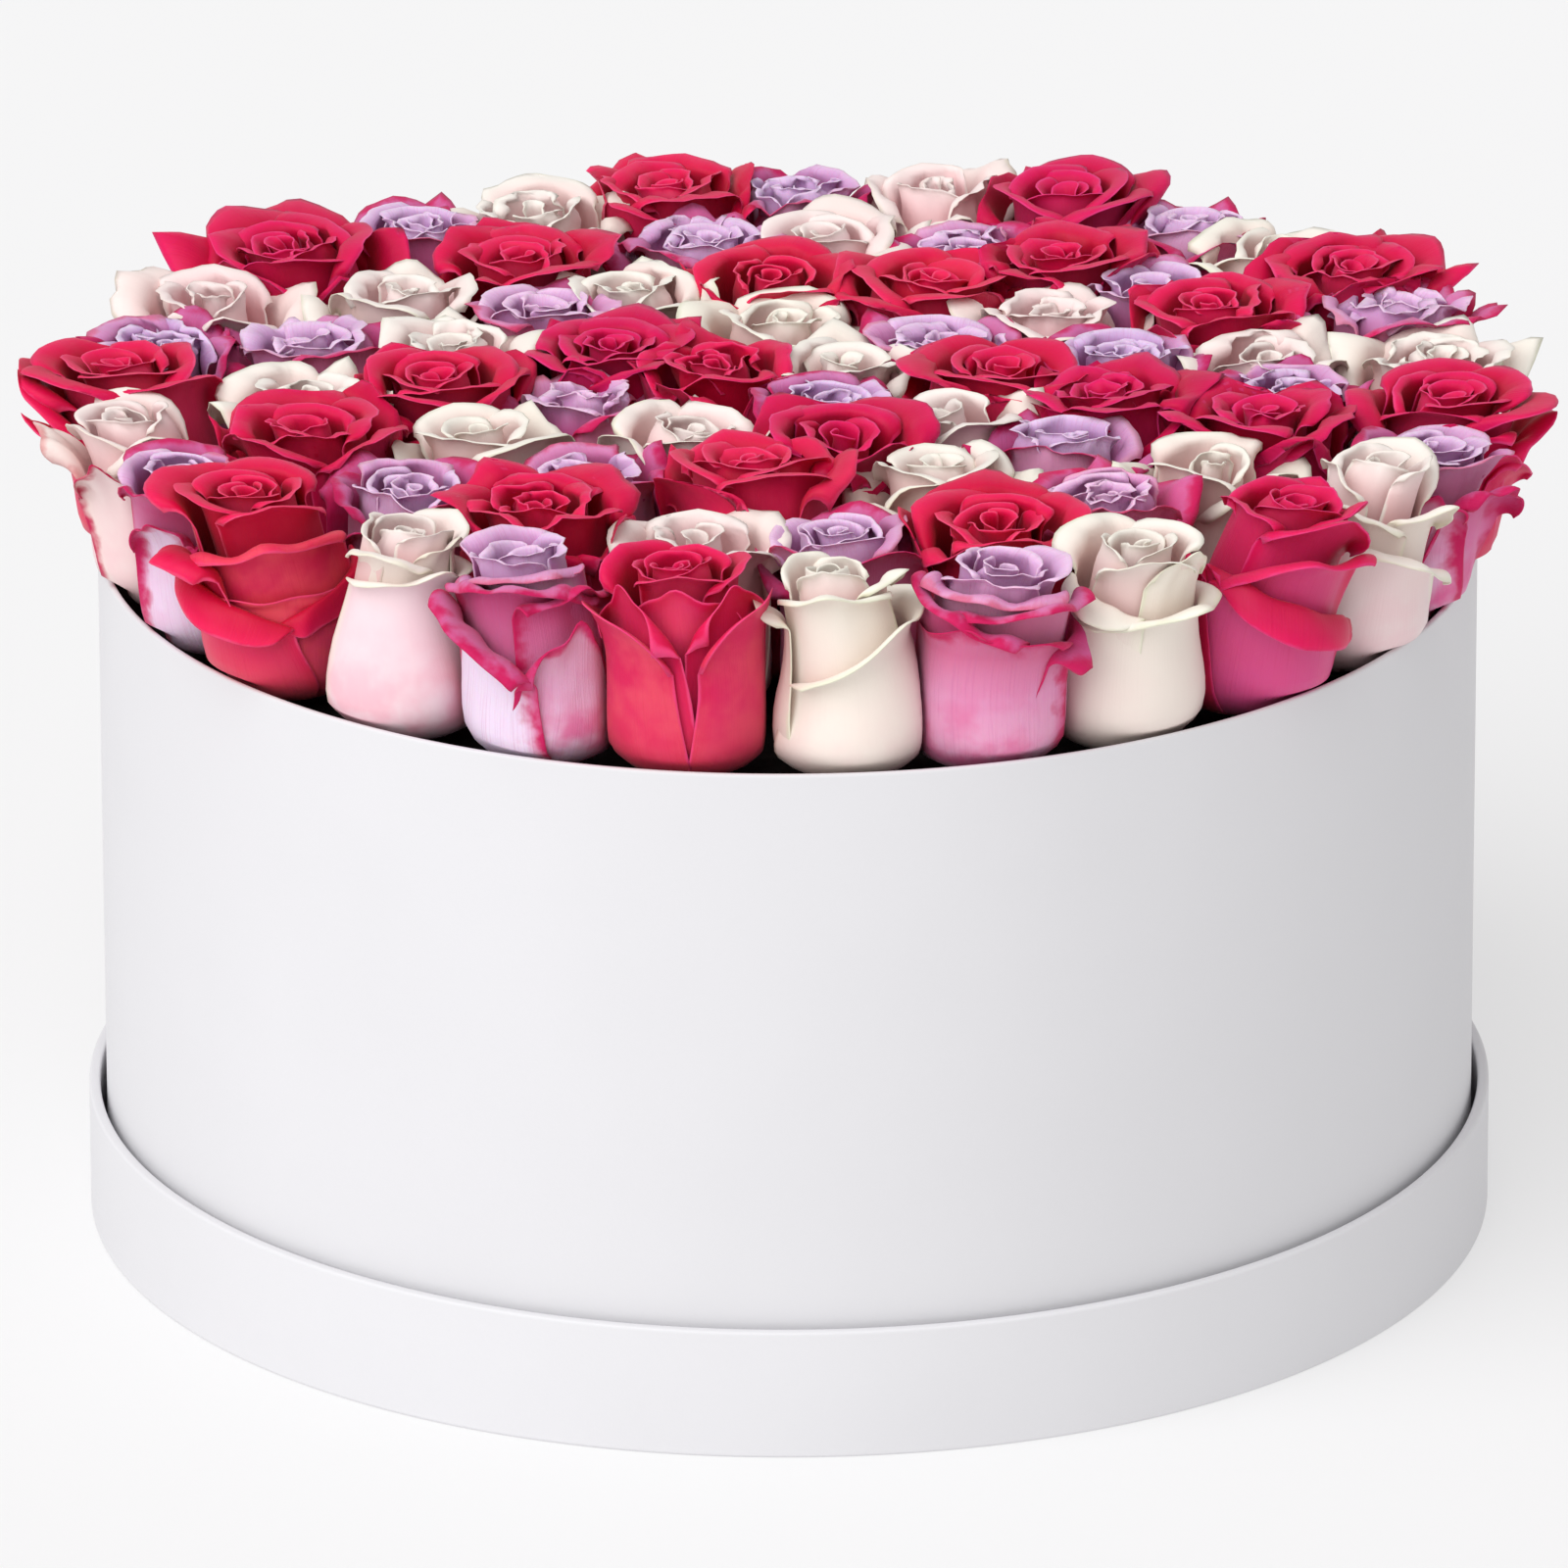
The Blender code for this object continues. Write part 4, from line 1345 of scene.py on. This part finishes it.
def petal_finish(name, blush):
    """The finish of one variety, with its colours laid over each other in the order above."""
    finish, shader = new_finish(
        name,
        blush.roughness,
        Specular_IOR_Level=0.14,
        Sheen_Weight=blush.sheen,
        Sheen_Roughness=0.5,
        Subsurface_Weight=blush.soft_share,
        Subsurface_Scale=SOFT_DEPTH,
    )
    shader.inputs["Subsurface Radius"].default_value = blush.outer[-1][1]
    tree = finish.node_tree
    along = attribute(tree, "along")
    age = attribute(tree, "age")
    inner = attribute(tree, "inner")
    colour = mixed(tree, inner, ramp(tree, along, blush.outer), ramp(tree, along, blush.inner))
    grown = fade(tree, age, blush.young_from, blush.young_from + YOUNG_OVER)
    colour = mixed(tree, grown, colour, ramp(tree, along, blush.young))
    faded = maths(tree, "MULTIPLY", attribute(tree, "pale"), fade(tree, inner, 0.0, 1.0, 1.0, 0.1))
    faded = maths(tree, "MULTIPLY", faded, fade(tree, attribute(tree, "rim"), 0.1, 0.7))
    colour = mixed(tree, faded, colour, blush.pale)
    patch = cloudy(tree, position(tree), PATCHES)
    flushed = maths(tree, "MULTIPLY", attribute(tree, "flush"), fade(tree, patch, 0.35, 0.65))
    reach = maths(tree, "MULTIPLY", flushed, fade(tree, along, blush.flush_from, blush.flush_to))
    colour = mixed(tree, reach, colour, blush.flush)
    veins = vein_pattern(tree)
    share = maths(tree, "MULTIPLY", fade(tree, veins, *VEINS_SEEN), blush.vein_share)
    colour = mixed(tree, share, colour, blush.veins)
    width = fade(tree, age, 0.1, 0.5, blush.rim_width[0], blush.rim_width[1])
    width = fade(tree, attribute(tree, "edged"), 0.0, 1.0, width, EDGED_WIDTH)
    uneven = fade(tree, cloudy(tree, position(tree), UNEVEN), 0.3, 0.7, -0.4, 0.4)
    rim = maths(tree, "DIVIDE", attribute(tree, "rim"), width)
    rim = maths(tree, "ADD", rim, uneven)
    rim_colour = mixed(tree, fade(tree, age, 0.3, 0.5), blush.rim, blush.young_rim)
    rim_colour = mixed(tree, attribute(tree, "edged"), rim_colour, CRIMSON)
    colour = mixed(tree, fade(tree, rim, 0.0, 1.0, 1.0, 0.0), colour, rim_colour)
    tone = ramp(tree, attribute(tree, "tone"), blush.tones)
    wire(tree, mixed(tree, 1.0, colour, tone, "MULTIPLY"), shader.inputs["Base Color"])
    grain = cloudy(tree, position(tree), GRAIN, 2.0)
    relief = maths(tree, "ADD", maths(tree, "MULTIPLY", veins, 0.8), maths(tree, "MULTIPLY", grain, 0.3))
    raised(tree, shader, relief, blush.relief)
    return finish


BLUSHES = {}
print("the recipe is ready")

# %% The pink-red petals, deep at the heart with painted shade low inside, and pink rims that are partly a painted highlight
BLUSHES["red"] = Blush(
    outer=[(0.10, (0.84, 0.090, 0.11)), (0.45, (0.82, 0.020, 0.11)), (0.85, (0.78, 0.005, 0.095))],
    # Painted shade: the inner and young ramps darken towards the base, partly the rose's own deep crimson
    # and partly shade painted inside the cup and heart.
    inner=[(0.30, (0.30, 0.0, 0.010)), (0.75, (0.58, 0.0, 0.034)), (0.92, (0.76, 0.003, 0.080)),
           (1.0, (0.92, 0.02, 0.13))],
    young=[(0.60, (0.34, 0.0, 0.012)), (0.84, (0.58, 0.0, 0.036)), (0.94, (0.80, 0.004, 0.085)),
           (1.0, (0.95, 0.02, 0.14))],
    young_from=0.15,
    # The pink rim is partly the petal's own lighter margin and partly a painted highlight on the curled
    # edges.
    rim=(0.95, 0.09, 0.23),
    young_rim=(0.97, 0.09, 0.22),
    rim_width=(0.10, 0.08),
    veins=(0.62, 0.001, 0.045),
    vein_share=0.14,
    flush=(0.90, 0.11, 0.15),
    flush_from=0.05,
    flush_to=0.40,
    pale=(0.86, 0.17, 0.30),
    tones=[(0.0, (0.80, 0.40, 0.96)), (0.5, (0.86, 0.55, 0.84)), (1.0, (0.92, 0.75, 0.78))],
    relief=0.00014,
    roughness=0.45,
    sheen=0.05,
    soft_share=0.12,
)
print("rim of a red petal:", BLUSHES["red"].rim)

# %% The white petals, cream white with a greenish rim
BLUSHES["white"] = Blush(
    outer=[(0.10, (0.94, 0.84, 0.72)), (0.35, (0.97, 0.89, 0.82)), (0.85, (0.98, 0.95, 0.86))],
    inner=[(0.40, (0.93, 0.62, 0.58)), (0.75, (0.96, 0.83, 0.77)), (0.95, (1.0, 0.98, 0.90))],
    young=[(0.60, (0.93, 0.50, 0.52)), (0.84, (0.96, 0.74, 0.73)), (0.97, (1.0, 0.97, 0.92))],
    young_from=0.15,
    rim=(0.93, 0.94, 0.78),
    young_rim=(0.97, 0.95, 0.87),
    rim_width=(0.18, 0.12),
    veins=(0.92, 0.80, 0.77),
    vein_share=0.08,
    flush=(0.94, 0.44, 0.55),
    flush_from=0.9,
    flush_to=0.2,
    pale=(0.97, 0.80, 0.85),
    tones=[(0.0, (0.90, 0.885, 0.83)), (0.5, (0.90, 0.87, 0.86)), (1.0, (0.92, 0.80, 0.825))],
    relief=0.00007,
    roughness=0.50,
    sheen=0.05,
    soft_share=0.0,
)
print("rim of a white petal:", BLUSHES["white"].rim)

# %% The lavender petals, lilac in the heart
BLUSHES["lavender"] = Blush(
    outer=[(0.10, (0.90, 0.66, 0.78)), (0.35, (0.82, 0.34, 0.52)), (0.62, (0.74, 0.26, 0.46)),
           (0.85, (0.60, 0.06, 0.20))],
    inner=[(0.40, (0.46, 0.01, 0.06)), (0.80, (0.54, 0.04, 0.17)), (1.0, (0.68, 0.17, 0.40))],
    young=[(0.60, (0.50, 0.02, 0.11)), (0.78, (0.52, 0.13, 0.33)), (0.88, (0.57, 0.31, 0.55)),
           (0.95, (0.74, 0.48, 0.72)), (1.0, (0.90, 0.68, 0.86))],
    young_from=0.20,
    rim=(0.60, 0.012, 0.11),
    young_rim=(0.88, 0.64, 0.82),
    rim_width=(0.75, 0.10),
    veins=(0.58, 0.16, 0.34),
    vein_share=0.3,
    flush=(0.74, 0.07, 0.26),
    flush_from=0.9,
    flush_to=0.2,
    pale=(0.88, 0.74, 0.87),
    tones=[(0.0, (0.92, 0.95, 1.02)), (0.6, (0.98, 0.95, 1.0)), (1.0, (1.05, 0.92, 0.98))],
    relief=0.00022,
    roughness=0.60,
    sheen=0.08,
    soft_share=0.12,
)
print("rim of a lavender petal:", BLUSHES["lavender"].rim)

# %% Make the three petal finishes
finishes = {name: petal_finish(name + "_petals", BLUSHES[name]) for name in COLOURS}
print("petal finishes:", [finish.name for finish in finishes.values()])

# %% [markdown]
# ## Calyx and stem
# Under the petals sits the calyx, a small green cup with five narrow sepals that hug the bloom's base. The
# cut stem goes on down into the foam. Both are hardly seen between packed blooms, so their meshes are
# coarse, but without them the petals would stand on nothing.

# %% Stem, calyx and sepal
STEM_RADIUS = 0.0031
STEM_TOP = -0.002
STEM_SIDES = 10
CALYX = (
    (STEM_RADIUS, STEM_TOP),
    (0.0046, -0.001),
    (0.0062, 0.002),
    (0.0066, 0.005),
    (0.0050, 0.007),
    (0.0, 0.0075),
)
SEPAL_ROWS = 7
SEPAL_FROM = (0.005, 0.002)
SEPAL_LENGTH = 0.012
SEPAL_BEND = (0.9, 1.2)
SEPAL_HALF = 0.0034
SEPAL_THICK = 0.0006
SEPAL_ARCH = 0.0006


def turned(outline):
    """An open profile of (radius, height) points turned round the Z axis."""
    turns = np.linspace(0.0, math.tau, STEM_SIDES, endpoint=False)
    radius, height = (np.array(outline)[:, i : i + 1] for i in (0, 1))
    points = np.stack([radius * np.cos(turns), radius * np.sin(turns), height + 0 * turns], axis=-1)
    return points.reshape(-1, 3), grid_faces(len(outline), STEM_SIDES, False, True)[:, ::-1]


def sepal(turn, draws):
    """A narrow pointed leaf that follows the bloom's base outward and up."""
    shares = np.linspace(0.0, 1.0, SEPAL_ROWS)[:, None]
    across = np.array([-1.0, 0.0, 1.0])
    half = SEPAL_HALF * np.sqrt(np.maximum(1 - shares**1.5, 0.0)) * (0.7 + 0.6 * shares)
    bend = draws.uniform(*SEPAL_BEND)
    radius = SEPAL_FROM[0] + SEPAL_LENGTH * np.sin(shares * bend) * 0.95
    rise = SEPAL_FROM[1] + SEPAL_LENGTH * (1 - np.cos(shares * bend)) * 0.8
    height = rise - SEPAL_ARCH * np.abs(across)
    x = radius + 0 * across
    y = half * across
    cos_turn, sin_turn = math.cos(turn), math.sin(turn)
    sheet = np.stack([x * cos_turn - y * sin_turn, x * sin_turn + y * cos_turn, height], axis=-1)
    top = sheet.reshape(-1, 3)
    below = top - (0.0, 0.0, SEPAL_THICK)
    upper = grid_faces(len(shares), len(across), False, False)[:, ::-1]
    loop = border(len(shares), len(across))
    after = np.roll(loop, -1)
    rim = np.stack([loop, loop + len(top), after + len(top), after], axis=-1)
    return np.concatenate([top, below]), np.concatenate([upper, upper[:, ::-1] + len(top), rim])


print("the stem goes down", round(1000 * STEM_LENGTH), "mm into the foam")

# %% All the green parts
SEPALS = 5
GREENS = [(0.3, (0.055, 0.11, 0.028)), (0.7, (0.11, 0.19, 0.05))]
GREEN_PATCHES = 240.0
GREEN_RELIEF = 0.0002


def green_finish():
    finish, shader = new_finish("stem_green", 0.55, Specular_IOR_Level=0.4)
    tree = finish.node_tree
    patches = cloudy(tree, position(tree), GREEN_PATCHES)
    wire(tree, ramp(tree, patches, GREENS), shader.inputs["Base Color"])
    raised(tree, shader, patches, GREEN_RELIEF)
    return finish


def green_parts(rose):
    """Stem, calyx and sepals of one rose, in their place in the box."""
    stem = ((0.0, -STEM_LENGTH), (STEM_RADIUS, -STEM_LENGTH), (STEM_RADIUS, STEM_TOP))
    stem_points, stem_faces = turned(stem)
    calyx_points, calyx_faces = turned(CALYX)
    foot = (*rose.foot, FOOT)
    parts = [(stem_points + foot, stem_faces), (calyx_points + foot, calyx_faces)]
    start = rose.draws.uniform(0, math.tau)
    for number in range(SEPALS):
        points, faces = sepal(start + number * math.tau / SEPALS, rose.draws)
        parts.append((planted(rose, points), faces))
    return [(points, faces, {note: np.zeros(len(points)) for note in NOTES}) for points, faces in parts]


green = green_finish()
print("green parts are ready:", green.name)

# %% [markdown]
# ## Grow the roses
# Each node of roses gets one new piece with all its petals. The piece is shown in place of the node, and
# takes the petal finish of its colour. A rose of the field draws its own nature and its share of the
# habit's petals. Each of its petals lies a little more or less far over the neighbours than the last, and
# its tip is let out a little further.

# %% Grow one rose
MOOD = (-0.8, 0.9)
WILD = (0.6, 2.0)
TAME = 0.8
PETAL_SHARE = (0.58, 0.90)
FRONT_SHARE = 0.78
FRONT_FROM = -0.1
FRONT_HEIGHT = 0.0758
PRESS = 0.0028
TIP_FROM = (0.80, 1.0)
TIP_FREE = 0.0030


def grown_rose(rose):
    """The shells of one rose's petals, in their place in the box."""
    habit = HABITS[rose.colour]
    spin = rose.draws.uniform(0, math.tau)
    mood = rose.draws.uniform(*MOOD)
    tone = rose.draws.uniform(0, 1)
    by_hand = front_rose(rose)
    nature = Nature(mood, tone, 1.0, 0.0, rose.draws.uniform(*WILD))
    count = round(habit.petals * rose.draws.uniform(*PETAL_SHARE))
    if by_hand:
        nature = Nature(*by_hand[:4], TAME)
        count = round(FRONT_SHARE * habit.petals)
        if rose.middle[1] < FRONT_FROM:
            rose = rose._replace(height=FRONT_HEIGHT)
    shells = []
    for number in range(count):
        petal = grown_petal(rose, habit, number, number / (count - 1), spin, nature)
        if by_hand and number < len(by_hand.petals):
            petal = hand_set(petal, by_hand.petals[number])
        elif by_hand:
            petal = held_in(petal)
        points, faces, notes = petal_shell(petal)
        tip = np.exp(-((notes["across"] / TIP_HALF) ** 2)) * smooth(notes["along"], *TIP_FROM)
        press = rose.draws.uniform(-PRESS, PRESS) + TIP_FREE * nature.wild * tip
        shells.append((planted(rose, points, press * (by_hand is None)), faces, notes))
    return shells


print("a rose of the field has", PETAL_SHARE, "of its habit's petals")

# %% Grow all the roses
def one_mesh(name, petals, greens, finish):
    """All the petals and green parts of one node as one mesh with two finishes."""
    shells = petals + greens
    counts = np.cumsum([0] + [len(points) for points, _, _ in shells[:-1]])
    points = np.concatenate([points for points, _, _ in shells])
    faces = np.concatenate([faces + start for (_, faces, _), start in zip(shells, counts)])
    piece = new_piece(name, points, faces, [finish, green])
    petal_faces = sum(len(faces) for _, faces, _ in petals)
    which = (np.arange(len(faces)) >= petal_faces).astype(np.int32)
    piece.data.polygons.foreach_set("material_index", which)
    for note in NOTES:
        values = np.concatenate([notes[note] for _, _, notes in shells])
        layer = piece.data.attributes.new(note, "FLOAT", "POINT")
        layer.data.foreach_set("value", values.astype(np.float32))
    return piece


triangles = 0
for node in rose_nodes:
    own = [rose for rose in roses if rose.node == node]
    petals = [shell for rose in own for shell in grown_rose(rose)]
    greens = [part for rose in own for part in green_parts(rose)]
    colour = node.split("_")[1]
    piece = one_mesh(node.replace("rose_", "petals_"), petals, greens, finishes[colour])
    stands_for(piece, colour + "_petals", node)
    triangles += 2 * len(piece.data.polygons)
print("triangles in all the roses:", triangles)
